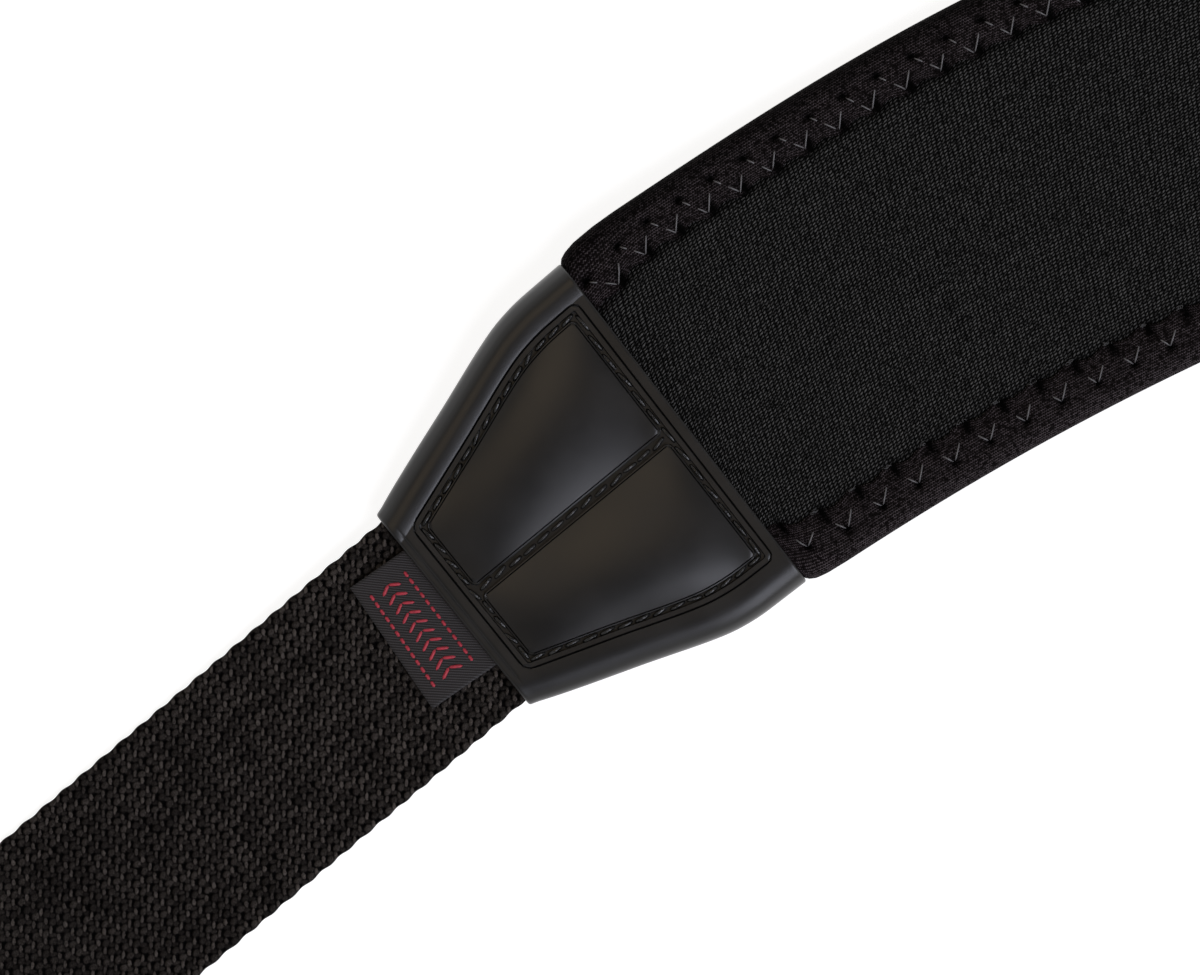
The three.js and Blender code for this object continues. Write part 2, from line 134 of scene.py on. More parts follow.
# Relief of the caps: a groove inside the rim, a flat band, a sunk seam and two crowned panels
GROOVE_CORNER = 1.5
GROOVE_DEPTH = 0.5
GROOVE_HALF = 0.13
GROOVE_INSET = 6.2
GROOVE_PINCH = (0.15, 8)  # how much narrower the groove runs at the narrow end, and its reach
EDGE_FLARE = 0.2
EDGE_PINCH = (0.5, 5)
EDGE_POWER = 0.8  # under 1, the round of the sides is fuller than half an ellipse
RIM_CREST = 0.42
CREST_REACH = 2.6  # from the groove to the crest of the rim
BAND = 1.05
SEAM_INSET = 1.53
CHANNEL_DEPTH = 0.6
CHANNEL_SHADE = 0.45  # share of the tone that is lost in the channel to painted shade
PANEL_INSET = 2
PANEL_HALF_GAP = 0.9
PANEL_CORNER = 1.1
PANEL_CROWN = 5.8
# Reach of the crown's slopes at the side, the narrow end, the mouth and the middle
PANEL_SLOPES = (8, 7.5, 7.5, 17)
PANEL_LINE = 0.35
PANEL_LINE_DEPTH = 0.26
LIP_LINE = 1.3
SEAM_PITCH = 3.15
SEAM_MOUTH_PITCH = 4
STITCH_RADIUS = 0.31
TAIL_STITCH_RADIUS = 0.32
TAIL_MARGIN = 4
# Distances inside the groove where the mesh has its points
FINE = (-0.6, -0.35, -0.2, -0.1, 0, 0.1, 0.2, 0.3, 0.4, 0.6, 0.97, 1.13, 1.3)
FINE = np.array([*FINE, 1.53, 1.76, 1.93, 2.07, 2.15, 2.23, 2.29, 2.35, 2.41, 2.47, 2.6, 2.9])

# Zigzag seams of the bindings
TAPE_EDGE = 9.6
TAPE_SCALLOP = 0.45
FOLD_TONE = {1: 0.4, -1: 1.6}  # tone of the tape where it folds round the pad's edge: darker on the outer binding (1), a painted highlight on the inner one (-1)
ZIGZAG_OUTER = 4.5  # from the pad's edge to the outer row of needle holes
ZIGZAG_INNER = 8.9
ZIGZAG_PITCH = {1: 6.12, -1: 7.3}
ZIGZAG_START = {1: 0.9, -1: 5.67}
ZIGZAG_LEAN = {1: 0.5, -1: 0.58}
ZIGZAG_THREAD = 0.14
TUFT_YARNS = 9
TUFT_THREAD = 0.075
# Height of the two threads that leave a needle hole over the tape, by share of their length
ARMS = {
    1: (
        (
            (0, 0.1, 0.16, 0.3, 0.38, 0.58, 0.66, 0.94, 1),
            (-0.5, -0.2, 0.05, 0.05, -0.25, -0.25, 0.1, 0.1, -0.2),
        ),
        ((0, 0.38, 0.5, 0.95, 1), (-0.5, -0.3, 0.1, 0.1, -0.2)),
    ),
    -1: (
        ((0, 0.06, 0.12, 0.46, 0.56, 1), (-0.4, 0, 0.1, 0.1, -0.25, -0.3)),
        ((0, 0.05, 0.1, 0.3, 0.42, 1), (-0.4, 0, 0.1, 0.1, -0.25, -0.3)),
    ),
}

# Weave of the webbing
FLOAT_PERIOD = 4.18
WARP_PITCH = 0.84
SELVEDGE_WAVE = 0.13
WEAVE_DEPTH = 0.5
FLOAT_START = 0.85  # shift of the floats along the webbing
SELVEDGE_PERIOD = 4.15
FAR_SHADE = (20, 90, 1, 0.72)  # places between which the webbing darkens, and its two tones
# Centre in a float, half length and width, slant and tone of its crowns: their painted highlight, which
# also scales their height
YARNS = (
    (0.25, (0.78, 0.62), 10, 0.38),
    (1.39, (0.7, 0.33), 50, 0.8),
    (-1.23, (0.62, 0.42), -20, 0.24),
)

# Motif of the label, in shares of its length and of its half width
MOTIF_LINES = (0.17, 0.72)
MOTIF_DASH = (13, 0.12, 0.09)  # number, pitch and length
MOTIF_CHEVRONS = (10, 0.155)  # number and pitch
MOTIF_THREAD = 0.27

# Knit of the pad and its tape
KNIT_LENGTH = 0.81
KNIT_WIDTH = 0.54
KNIT_SLANT = math.tan(math.radians(16.5))
TRICOT_CELL = 0.45


def smoothstep(value, low, high):
    share = np.clip((value - low) / (high - low), 0, 1)
    return share * share * (3 - 2 * share)


def lerp(start, end, share):
    return start + (end - start) * share


def bell(value, width):
    return np.exp(-((value / width) ** 2))


def turn_at(distance):
    """Angle that the middle line has turned at a distance from a cap's mouth."""
    distance = np.asarray(distance, float)
    share = np.clip(distance / CAP_TURN_LENGTH + 0.5, 0, 1)
    ramp = np.clip(distance, 0, BEND_RAMP)
    tightening = (1 / BEND_RADIUS - 1 / BEND_END_RADIUS) / (2 * BEND_RAMP)
    beyond = np.maximum(distance - BEND_RAMP, 0) / BEND_RADIUS
    return CAP_TURN * share + ramp / BEND_END_RADIUS + tightening * ramp**2 + beyond


CAP_HEADING = float(turn_at(PAD_LENGTH / 2))


def heading_at(place):
    return -np.sign(place) * (CAP_HEADING - turn_at(PAD_LENGTH / 2 - np.abs(place)))


def middle_line(reach=240, step=0.25):
    """Places along the pad's middle line, counted from its middle, and their points."""
    places = np.arange(-reach, reach + step, step)
    angles = heading_at(places[:-1] + step / 2)
    x = np.concatenate([[0], np.cumsum(step * np.cos(angles))])
    y = np.concatenate([[0], np.cumsum(step * np.sin(angles))])
    return places, x - np.interp(0, places, x), y - np.interp(0, places, y)


LINE = middle_line()


def on_pad(place, across, up):
    """Points beside the middle line, at a place along it, a distance across and a height."""
    place, across, up = np.broadcast_arrays(np.asarray(place, float), across, up)
    angle = heading_at(place)
    x = np.interp(place, LINE[0], LINE[1]) - across * np.sin(angle)
    y = np.interp(place, LINE[0], LINE[2]) + across * np.cos(angle)
    return np.stack([x, y, up], -1)


def mouth_point():
    start = on_pad(-(PAD_LENGTH + CAP_TURN_LENGTH) / 2, 0, 0)
    forward = np.array([math.cos(CAP_HEADING), math.sin(CAP_HEADING), 0])
    return start + forward * CAP_TURN_LENGTH / 2


MOUTH = mouth_point()
# From the middle of the pad's middle line to the origin of the part
LIFT_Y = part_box("binding_outer")[1].y / MM - PAD_WIDTH / 2


def on_end(points, side=1):
    """Points of the left cap's frame, +X to the pad and the mouth at zero, or of the right one's."""
    points = np.asarray(points, float)
    c, s = math.cos(CAP_HEADING), math.sin(CAP_HEADING)
    x = MOUTH[0] + points[..., 0] * c - points[..., 1] * s
    y = MOUTH[1] + points[..., 0] * s + points[..., 1] * c
    return np.stack([side * x, y, points[..., 2]], -1)


def sag_at(distance):
    return CAP_LIFT * (1 - smoothstep(distance, 0, SAG_LENGTH))


# Meshes


def ring_faces(rings, count, loop=False):
    """Quads between rings of points. loop joins the last ring and the first."""
    row = np.arange(rings if loop else rings - 1)[:, None] * count
    after = (row + count) % (rings * count)
    i = np.arange(count)[None, :]
    j = (i + 1) % count
    return np.stack([row + i, row + j, after + j, after + i], -1).reshape(-1, 4)


def end_faces(rings, count):
    """The two faces that shut a bar of rings."""
    first = np.arange(count)[::-1]
    last = np.arange(count) + (rings - 1) * count
    return np.stack([first, last])


def bar_faces(rings, count):
    return [ring_faces(rings, count), end_faces(rings, count)]


def make_piece(name, points, faces, material, cloth=None, relief=None, flip=False):
    """Mesh from points in millimetres. cloth gives each point its place on the flat fabric, relief its
    painted light and shade.
    """
    points = points.reshape(-1, 3)
    groups = [g[:, ::-1] if flip else g for g in faces]
    corners = np.concatenate([g.ravel() for g in groups])
    sizes = np.concatenate([np.full(len(g), g.shape[1]) for g in groups])
    starts = np.concatenate([[0], np.cumsum(sizes)[:-1]])
    mesh = bpy.data.meshes.new(name)
    mesh.vertices.add(len(points))
    mesh.vertices.foreach_set("co", ((points + (0, LIFT_Y, 0)) * MM).astype(np.float32).ravel())
    mesh.loops.add(len(corners))
    mesh.loops.foreach_set("vertex_index", corners.astype(np.int32))
    mesh.polygons.add(len(sizes))
    mesh.polygons.foreach_set("loop_start", starts.astype(np.int32))
    mesh.polygons.foreach_set("use_smooth", np.ones(len(sizes), bool))
    mesh.update(calc_edges=True)
    if cloth is not None:
        layer = mesh.uv_layers.new(name="cloth")
        layer.uv.foreach_set("vector", cloth.reshape(-1, 2)[corners].astype(np.float32).ravel())
    if relief is not None:
        layer = mesh.attributes.new("relief", "FLOAT", "POINT")
        layer.data.foreach_set("value", relief.astype(np.float32).ravel())
    mesh.validate()
    piece = bpy.data.objects.new(name, mesh)
    bpy.context.scene.collection.objects.link(piece)
    mesh.materials.append(material)
    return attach(piece, "root")


def tubes(paths, radius, sides=6):
    """Closed tubes of equal numbers of points along paths, an array of tubes by points by 3."""
    tangent = np.gradient(paths, axis=1)
    tangent /= np.linalg.norm(tangent, axis=-1, keepdims=True) + 1e-12
    across = np.cross(tangent, (0, 0, 1.0))
    across /= np.linalg.norm(across, axis=-1, keepdims=True) + 1e-9
    normal = np.cross(across, tangent)
    angle = np.arange(sides) * 2 * math.pi / sides
    count = paths.shape[1]
    share = np.linspace(-1, 1, count)
    thickness = radius * np.sqrt(np.clip(1.02 - share**8, 0.02, 1))[None, :, None, None]
    around = (
        np.cos(angle)[:, None] * across[:, :, None, :]
        + np.sin(angle)[:, None] * normal[:, :, None, :]
    )
    points = paths[:, :, None, :] + thickness * around
    one = ring_faces(count, sides)
    shut = end_faces(count, sides)
    offset = np.arange(len(paths))[:, None, None] * count * sides
    return points, [(one + offset).reshape(-1, 4), (shut + offset).reshape(-1, sides)]


# Materials


class Shader:
    """A Principled material and short ways to add nodes to it."""

    def __init__(self, name, colour, roughness, **settings):
        self.material = bpy.data.materials.new(name)
        self.material.use_nodes = True
        self.nodes = self.material.node_tree.nodes
        self.links = self.material.node_tree.links
        self.surface = self.nodes["Principled BSDF"]
        self.surface.inputs["Base Color"].default_value = (*colour, 1)
        self.surface.inputs["Roughness"].default_value = roughness
        for key, value in settings.items():
            self.surface.inputs[key.replace("_", " ")].default_value = value

    def put(self, socket, value):
        if isinstance(value, bpy.types.NodeSocket):
            self.links.new(value, socket)
        else:
            socket.default_value = value

    def math(self, operation, *values):
        node = self.nodes.new("ShaderNodeMath")
        node.operation = operation
        for socket, value in zip(node.inputs, values):
            self.put(socket, value)
        return node.outputs[0]

    def times(self, *values):
        return self.math("MULTIPLY", *values)

    def times_plus(self, *values):
        """The first value times the second, plus the third."""
        return self.math("MULTIPLY_ADD", *values)

    def minus(self, *values):
        return self.math("SUBTRACT", *values)

    def place(self):
        """Place in the part's own frame, in metres."""
        return self.nodes.new("ShaderNodeTexCoord").outputs["Object"]

    def cloth(self):
        """The two directions on the flat fabric, in millimetres."""
        node = self.nodes.new("ShaderNodeUVMap")
        node.uv_map = "cloth"
        parts = self.nodes.new("ShaderNodeSeparateXYZ")
        self.links.new(node.outputs[0], parts.inputs[0])
        return parts.outputs[0], parts.outputs[1]

    def noise(self, size, detail=2, vector=None, roughness=0.5):
        """Noise from 0 to 1 with features of a size in metres."""
        node = self.nodes.new("ShaderNodeTexNoise")
        self.links.new(vector or self.place(), node.inputs["Vector"])
        node.inputs["Scale"].default_value = 1 / size
        node.inputs["Detail"].default_value = detail
        node.inputs["Roughness"].default_value = roughness
        return node.outputs["Fac"]

    def chance(self, first, second):
        """Random number from 0 to 1 for each pair of whole numbers."""
        pair = self.nodes.new("ShaderNodeCombineXYZ")
        self.put(pair.inputs[0], first)
        self.put(pair.inputs[1], second)
        node = self.nodes.new("ShaderNodeTexWhiteNoise")
        node.noise_dimensions = "2D"
        self.links.new(pair.outputs[0], node.inputs["Vector"])
        return node.outputs["Value"]

    def remap(self, value, low, high, to_low, to_high):
        node = self.nodes.new("ShaderNodeMapRange")
        for socket, number in zip(node.inputs, (value, low, high, to_low, to_high)):
            self.put(socket, number)
        return node.outputs[0]

    def blend(self, factor, first, second):
        node = self.nodes.new("ShaderNodeMix")
        node.data_type = "RGBA"
        self.put(node.inputs[0], factor)
        self.put(node.inputs[6], (*first, 1) if isinstance(first, tuple) else first)
        self.put(node.inputs[7], (*second, 1) if isinstance(second, tuple) else second)
        return node.outputs[2]

    def wave(self, value, period):
        """Cosine wave from 0 to 1."""
        angle = self.times(value, 2 * math.pi / period)
        return self.times_plus(self.math("COSINE", angle), 0.5, 0.5)

    def bump(self, height, distance, strength=1.0, under=None):
        node = self.nodes.new("ShaderNodeBump")
        node.inputs["Distance"].default_value = distance
        node.inputs["Strength"].default_value = strength
        self.put(node.inputs["Height"], height)
        if under is not None:
            self.links.new(under, node.inputs["Normal"])
        return node.outputs[0]

    def set(self, name, value):
        self.put(self.surface.inputs[name], value)


# The relief attribute holds painted light and shade: painted shade in needle holes, grooves, channels
# and along edges, and a painted highlight on the inner binding's fold.
def painted_light_and_shade(s):
    node = s.nodes.new("ShaderNodeAttribute")
    node.attribute_name = "relief"
    return node.outputs["Fac"]


def jersey():
    """Fine knit: short slanted loops in columns that lean over."""
    s = Shader("jersey", (0.012, 0.012, 0.012), 0.9, Specular_IOR_Level=0.02)
    along, across = s.cloth()
    swaying = s.times_plus(s.noise(0.0009, 1), 0.3, across)
    rows = s.math("DIVIDE", swaying, KNIT_WIDTH)
    part = s.minus(s.math("FRACT", rows), 0.5)
    leaning = s.times_plus(across, -KNIT_SLANT, along)
    wobble = s.times_plus(s.noise(0.0011, 2), 0.75, leaning)
    place = s.minus(s.math("FRACT", s.math("DIVIDE", wobble, KNIT_LENGTH)), 0.5)
    slanted = s.times_plus(place, -0.5, part)
    narrow = s.math("POWER", s.wave(slanted, 1), 1.7)
    loop = s.times(s.math("POWER", s.wave(place, 1), 0.7), narrow)
    uneven = s.noise(0.00042, 2)
    patches = s.noise(0.005, 3)
    lit = s.times(loop, s.remap(uneven, 0.35, 0.65, 0.22, 1.43))
    lit = s.times(lit, s.remap(patches, 0.3, 0.7, 0.92, 1.02))
    # The relief attribute multiplies in painted shade beside the inner needle holes and along the tape's
    # edge.
    lit = s.times(lit, painted_light_and_shade(s))
    s.set("Base Color", s.blend(lit, (0.001, 0.001, 0.001), (0.1, 0.1, 0.098)))
    s.set("Normal", s.bump(loop, 0.0002, 0.7))
    return s.material


def tricot():
    """Smooth stretch tape with a fine grid of dots."""
    s = Shader("tricot", (0.012, 0.01, 0.011), 0.8, Specular_IOR_Level=0.03)
    along, across = s.cloth()
    rows = s.math("DIVIDE", across, TRICOT_CELL)
    odd = s.times(s.math("FLOOR", rows), TRICOT_CELL / 2)
    shifted = s.math("ADD", along, odd)
    dots = s.times(s.wave(shifted, TRICOT_CELL), s.wave(rows, 1))
    dots = s.math("POWER", dots, 1.4)
    uneven = s.noise(0.0006, 1)
    patches = s.noise(0.003, 2)
    lit = s.times(dots, s.remap(uneven, 0.35, 0.65, 0.0, 1.6))
    lit = s.times(lit, s.remap(patches, 0.3, 0.7, 0.84, 1.04))
    # The relief attribute scales the dots and darkens the base: painted shade in the needle holes,
    # beside the inner ones and along the tape's edge, and the fold's tone, a painted highlight on the
    # inner binding.
    lit = s.times(lit, painted_light_and_shade(s))
    shade = s.blend(painted_light_and_shade(s), (0.0, 0.0, 0.0), (0.004, 0.003, 0.003))
    s.set("Base Color", s.blend(lit, shade, (0.096, 0.08, 0.086)))
    s.set("Normal", s.bump(dots, 0.00015, 0.8))
    return s.material


def rubber():
    """Satin moulded rubber with a faint grain, rubbed patches and painted shade, black, in the narrow
    hollows of its relief.
    """
    s = Shader("rubber", (0.01, 0.01, 0.01), 0.33, Specular_IOR_Level=0.5)
    grain = s.noise(0.00022, 3, roughness=0.7)
    cloud = s.noise(0.009, 4)
    rough = s.remap(cloud, 0.3, 0.7, 0.3, 0.38)
    # tone is the relief attribute: at 0 it paints black shade into the groove, the panel lines and the
    # seam channel.
    tone = painted_light_and_shade(s)
    rough = s.math("ADD", rough, s.remap(grain, 0.3, 0.7, -0.03, 0.03))
    s.set("Roughness", s.math("MAXIMUM", rough, s.remap(tone, 0, 0.5, 0.5, 0.3)))
    shade = s.blend(cloud, (0.0075, 0.0073, 0.0073), (0.0105, 0.01, 0.0098))
    s.set("Base Color", s.blend(tone, (0, 0, 0), shade))
    s.set("Normal", s.bump(grain, 0.00002, 0.35))
    return s.material


def weave():
    """Heavy woven yarn with painted light and shade: the crowns of the floats are painted lit, the
    hollows between them painted black.
    """
    s = Shader("weave", (0.011, 0.0095, 0.0085), 0.6, Specular_IOR_Level=0.03)
    along, across = s.cloth()
    row = s.math("ROUND", s.math("DIVIDE", across, WARP_PITCH))
    fuzz = s.noise(0.00035, 2)
    across = s.times_plus(s.minus(fuzz, 0.5), 0.6, across)
    strands = s.wave(s.times_plus(along, 0.36, across), 0.22)
    tone = 0.0
    for near in (-1, 0, 1):
        number = s.math("ADD", row, near)
        offset = s.times_plus(number, -WARP_PITCH, across)
        start = s.times_plus(number, -0.5, FLOAT_START / FLOAT_PERIOD)
        part = s.times_plus(along, -1 / FLOAT_PERIOD, start)
        cell = s.math("ROUND", part)
        local = s.times(s.minus(part, cell), FLOAT_PERIOD)
        chance = s.chance(number, cell)
        moved = s.times_plus(s.chance(cell, number), 0.4, s.minus(local, 0.2))
        for centre, size, angle, bright in YARNS:
            c, d = math.cos(math.radians(angle)), math.sin(math.radians(angle))
            x = s.minus(moved, centre)
            long = s.times_plus(x, c / size[0], s.times(offset, d / size[0]))
            wide = s.times_plus(x, -d / size[1], s.times(offset, c / size[1]))
            reach = s.times_plus(long, long, s.times(wide, wide))
            # Painted highlight on the crown of each float, falling to black painted shade towards its
            # rim.
            crown = s.remap(reach, 0.3, 1.1, bright, 0)
            crown = s.times(crown, s.remap(chance, 0, 1, 0.55, 1.4))
            tone = s.math("MAXIMUM", tone, crown)
    uneven = s.noise(0.0022, 3)
    tone = s.times(tone, s.remap(uneven, 0.3, 0.7, 0.8, 1.13))
    hatch = s.times(strands, s.remap(fuzz, 0.35, 0.65, 0.3, 1.2))
    tone = s.times(tone, s.remap(hatch, 0, 1, 0.5, 1.6))
    # The relief attribute paints shade on the webbing's edges.
    tone = s.times(tone, painted_light_and_shade(s))
    tone = s.times(tone, s.remap(along, *FAR_SHADE))
    s.set("Base Color", s.blend(tone, (0.0004, 0.0003, 0.0003), (0.094, 0.081, 0.073)))
    s.set("Normal", s.bump(hatch, 0.00008, 0.7))
    return s.material


def satin():
    """Woven label: fine slanted ribs."""
    s = Shader("satin", (0.02, 0.018, 0.02), 0.5, Specular_IOR_Level=0.3)
    along, across = s.cloth()
    slanted = s.times_plus(across, 0.83, along)
    ribs = s.wave(slanted, 0.55)
    cross = s.wave(s.times_plus(along, -0.4, across), 0.3)
    lit = s.times(ribs, s.remap(cross, 0, 1, 0.7, 1))
    s.set("Base Color", s.blend(lit, (0.006, 0.0055, 0.006), (0.046, 0.042, 0.045)))
    s.set("Normal", s.bump(lit, 0.0001, 0.7))
    return s.material


def plain_thread(name, low, high, roughness, relief=0.00004):
    s = Shader(name, high, roughness, Specular_IOR_Level=0.6)
    strands = s.noise(0.0004, 2)
    s.set("Base Color", s.blend(strands, low, high))
    s.set("Normal", s.bump(strands, relief, 0.6))
    return s.material


def ring_plastic():
    s = Shader("moulded_plastic", (0.012, 0.012, 0.013), 0.45)
    grain = s.noise(0.0003, 3, roughness=0.7)
    s.set("Normal", s.bump(grain, 0.00004, 0.5))
    s.set("Roughness", s.remap(s.noise(0.006), 0.3, 0.7, 0.4, 0.55))
    return s.material


# Pad


def pad_shape(distance):
    """Half height over the binding and height of the middle at a distance from a mouth."""
    along = np.minimum(CAP_LENGTH + distance, CAP_LENGTH)
    inside = distance < 0
    middle = np.where(inside, cap_height(along) / 2, EDGE_HALF + sag_at(distance))
    edge = np.where(inside, cap_height(along) / 2 - CAP_LIFT, EDGE_HALF)
    return edge, middle


def across_at(distance, from_edge, side):
    """Distance from the middle line. The seam swings out of the mouth softer than the outline."""
    along = np.minimum(CAP_LENGTH + distance, CAP_LENGTH)
    tucked = cap_inner_half(along) - CAP_SIDE_GAP
    full = PAD_WIDTH / 2 - PAD_END_TAPER * (1 - smoothstep(distance, 0, PAD_TAPER_LENGTH))
    half = lerp(tucked, full, np.interp((distance - SWELL_START[side]) / PAD_SWELL_LENGTH, *PAD_SWELL))
    soft = lerp(tucked, full, smoothstep(distance, -7, 12))
    return lerp(half, soft, smoothstep(from_edge, 0.4, 5)) - from_edge


def pad_places(step, tuck):
    """Places along the pad, closer together at the mouths of the caps."""
    reach = PAD_LENGTH / 2 + tuck
    even = np.linspace(-reach, reach, round(2 * reach / step) + 1)
    fine = PAD_LENGTH / 2 - np.concatenate([np.arange(0.1, 1, 0.15), np.arange(1, 8, 0.35)])
    return np.unique(np.concatenate([even, fine, -fine]))


def from_holes(distance, side):
    """Distance along the seam from the nearest outer needle hole and the nearest inner one."""
    pitch = ZIGZAG_PITCH[side]
    phase = (distance - ZIGZAG_START[side]) / pitch
    lean = phase - ZIGZAG_LEAN[side]
    return (phase - np.round(phase)) * pitch, (lean - np.round(lean)) * pitch


def zigzag_dip(distance, from_edge, side):
    """How much the outer needle holes and the inner ones pull the fabric in, from 0 to 1."""
    outer, inner = from_holes(distance, side)
    at_outer = bell(outer, 0.75) * bell(from_edge - ZIGZAG_OUTER, 0.6)
    at_inner = bell(inner - 0.25, 0.9) * bell(from_edge - ZIGZAG_INNER, 0.8)
    return at_outer, at_inner


def zigzag_shade(distance, from_edge, side):
    """Painted shade that gathers in the needle holes, beside the inner ones and along the tape's inner
    edge, 1 where there is none.
    """
    outer, inner = from_holes(distance, side)
    hole = bell(outer, 0.85) * bell(from_edge - ZIGZAG_OUTER, 0.7)
    beside = bell(inner - 0.9, 0.95) * bell(from_edge - ZIGZAG_INNER + 0.4, 1.5)
    rim = 0.4 * bell(from_edge - TAPE_EDGE - 0.1, 0.6)
    return 1 - np.clip(1.3 * hole + 1.1 * beside + rim, 0, 1)


def foam_top(distance, from_edge, side):
    """Height of the pad's face over its middle."""
    edge, _ = pad_shape(distance)
    inward = from_edge - BINDING_WIDTH
    full = np.minimum(PAD_THICKNESS / 2, edge + 0.6)
    pressed = np.minimum(PAD_EDGE_THICKNESS / 2, edge - BINDING_WALL - GAP)
    height = lerp(pressed, full, smoothstep(inward, -2.2, 0.9))
    return height - 0.5 * zigzag_dip(distance, from_edge, side)[1]


def make_pad(material):
    places = pad_places(1.0, PAD_TUCK)
    distance = (PAD_LENGTH / 2 - np.abs(places))[:, None]
    edge, middle = pad_shape(distance)
    rim = np.array([-4, -2.5, -1.5, -0.9, -0.5, -0.1, 0.3, 0.7, 1.1, 1.6, 2.2, 3, 4, 5.3])
    from_edge = (BINDING_WIDTH + rim)[None, :]
    reach = [across_at(distance, from_edge, 1), -across_at(distance, from_edge, -1)[:, ::-1]]
    inner = lerp(reach[0][:, -1:], reach[1][:, :1], np.linspace(0, 1, 26)[None, 1:-1])
    height = [foam_top(distance, from_edge, side) for side in (1, -1)]
    shade = [zigzag_shade(distance, from_edge, side) for side in (1, -1)]
    round_angle = np.radians(np.array([75, 50, 25, 0, -25, -50, -75]))[None, :]
    thin = np.minimum(PAD_EDGE_THICKNESS / 2, edge - BINDING_WALL - GAP)
    tip_at = BINDING_WALL + GAP + thin * (1 - np.cos(round_angle))
    tip = [across_at(distance, tip_at, side) for side in (1, -1)]
    lift = thin * np.sin(round_angle)
    full = height[0][:, -1:] + 0 * inner
    face = [reach[0], inner, reach[1]]
    back = [a[:, ::-1] for a in face[::-1]]
    across = [*face, -tip[1], *back, tip[0][:, ::-1]]
    top = [height[0], full, height[1][:, ::-1]]
    low = [-np.minimum(h, edge) for h in (height[1], full, height[0][:, ::-1])]
    up = np.concatenate([*top, lift, *low, lift[:, ::-1]], 1) + middle
    one = np.ones(inner.shape)
    sides = np.ones(tip[0].shape)
    dark = [shade[0], one, shade[1][:, ::-1], sides, shade[1], one, shade[0][:, ::-1], sides]
    across = np.concatenate(across, 1)
    points = on_pad(places[:, None], across, up)
    cloth = np.stack(np.broadcast_arrays(places[:, None], across), -1)
    faces = bar_faces(*across.shape)
    # relief is painted shade beside the inner needle holes and along the tape's edge, 1 elsewhere.
    relief = np.concatenate(dark, 1)
    piece = make_piece("foam_pad", points, faces, material, cloth, relief)
    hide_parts("pad")


# Binding and its zigzag seam


def tape_top(distance, from_edge, side):
    """Height of the tape's face over the pad's middle."""
    edge, _ = pad_shape(distance)
    flat = lerp(edge, np.minimum(edge, 2.25), smoothstep(from_edge, 5, TAPE_EDGE))
    at_outer, at_inner = zigzag_dip(distance, from_edge, side)
    puff = 0.16 * bell(from_edge - 6.7, 1.5)
    return flat + puff - 0.8 * at_outer - 0.35 * at_inner


def make_binding(name, side, material):
    places = pad_places(0.55, BINDING_TUCK)
    distance = (PAD_LENGTH / 2 - np.abs(places))[:, None]
    edge, middle = pad_shape(distance)
    phase = (distance - ZIGZAG_START[side]) / ZIGZAG_PITCH[side] - ZIGZAG_LEAN[side]
    scallop = TAPE_SCALLOP * (np.cos(2 * math.pi * phase) - 0.7) + rng.normal(0, 0.05, distance.shape)
    flat = np.linspace(TAPE_EDGE, EDGE_HALF + 0.3, 19)[None, :]
    edge_in = flat + scallop * smoothstep(flat, TAPE_EDGE - 2.4, TAPE_EDGE)
    round_angle = np.radians(np.linspace(90, -90, 13))[None, :]
    fold = EDGE_HALF * (1 - np.cos(round_angle))
    low_flat = flat[:, ::-2]
    inner = np.linspace(TAPE_EDGE, EDGE_HALF, 5)[None, :]
    inner_in = inner + scallop * smoothstep(inner, TAPE_EDGE - 2.4, TAPE_EDGE)
    inner_round = np.radians(np.linspace(-90, 90, 7))[None, :]
    hollow = edge - BINDING_WALL
    inner_fold = EDGE_HALF - (EDGE_HALF - BINDING_WALL) * np.cos(inner_round)
    gap_up = hollow - 0.1 * smoothstep(inner, EDGE_HALF, TAPE_EDGE)
    rows = [
        (edge_in, tape_top(distance, edge_in, side)),
        (fold, edge * np.sin(round_angle)),
        (low_flat, -np.minimum(tape_top(distance, low_flat, side), edge)),
        (inner, -gap_up),
        (inner_fold, hollow * np.sin(inner_round)),
        (inner_in[:, ::-1], gap_up[:, ::-1]),
    ]
    wide = [np.broadcast_to(a, (len(places), a.shape[1])) for a, _ in rows]
    from_edge = np.concatenate(wide, 1)
    up = np.concatenate([height for _, height in rows], 1)
    # Painted highlight on the inner binding's fold and a darker tone on the outer one's, times the
    # painted shade of the needle holes.
    fold_tone_and_highlight = lerp(FOLD_TONE[side], 1, smoothstep(from_edge, 0.8, 4))
    relief = zigzag_shade(distance, from_edge, side) * fold_tone_and_highlight
    points = on_pad(places[:, None], side * across_at(distance, from_edge, side), middle + up)
    steps = np.hypot(np.diff(from_edge, axis=1), np.diff(up, axis=1)).mean(0)
    length = np.concatenate([[0], np.cumsum(steps)])[None, :]
    cloth = np.stack(np.broadcast_arrays(places[:, None], length), -1)
    faces = bar_faces(*from_edge.shape)
    piece = make_piece(name + "_tape", points, faces, material, cloth, relief, side > 0)
    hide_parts(name)


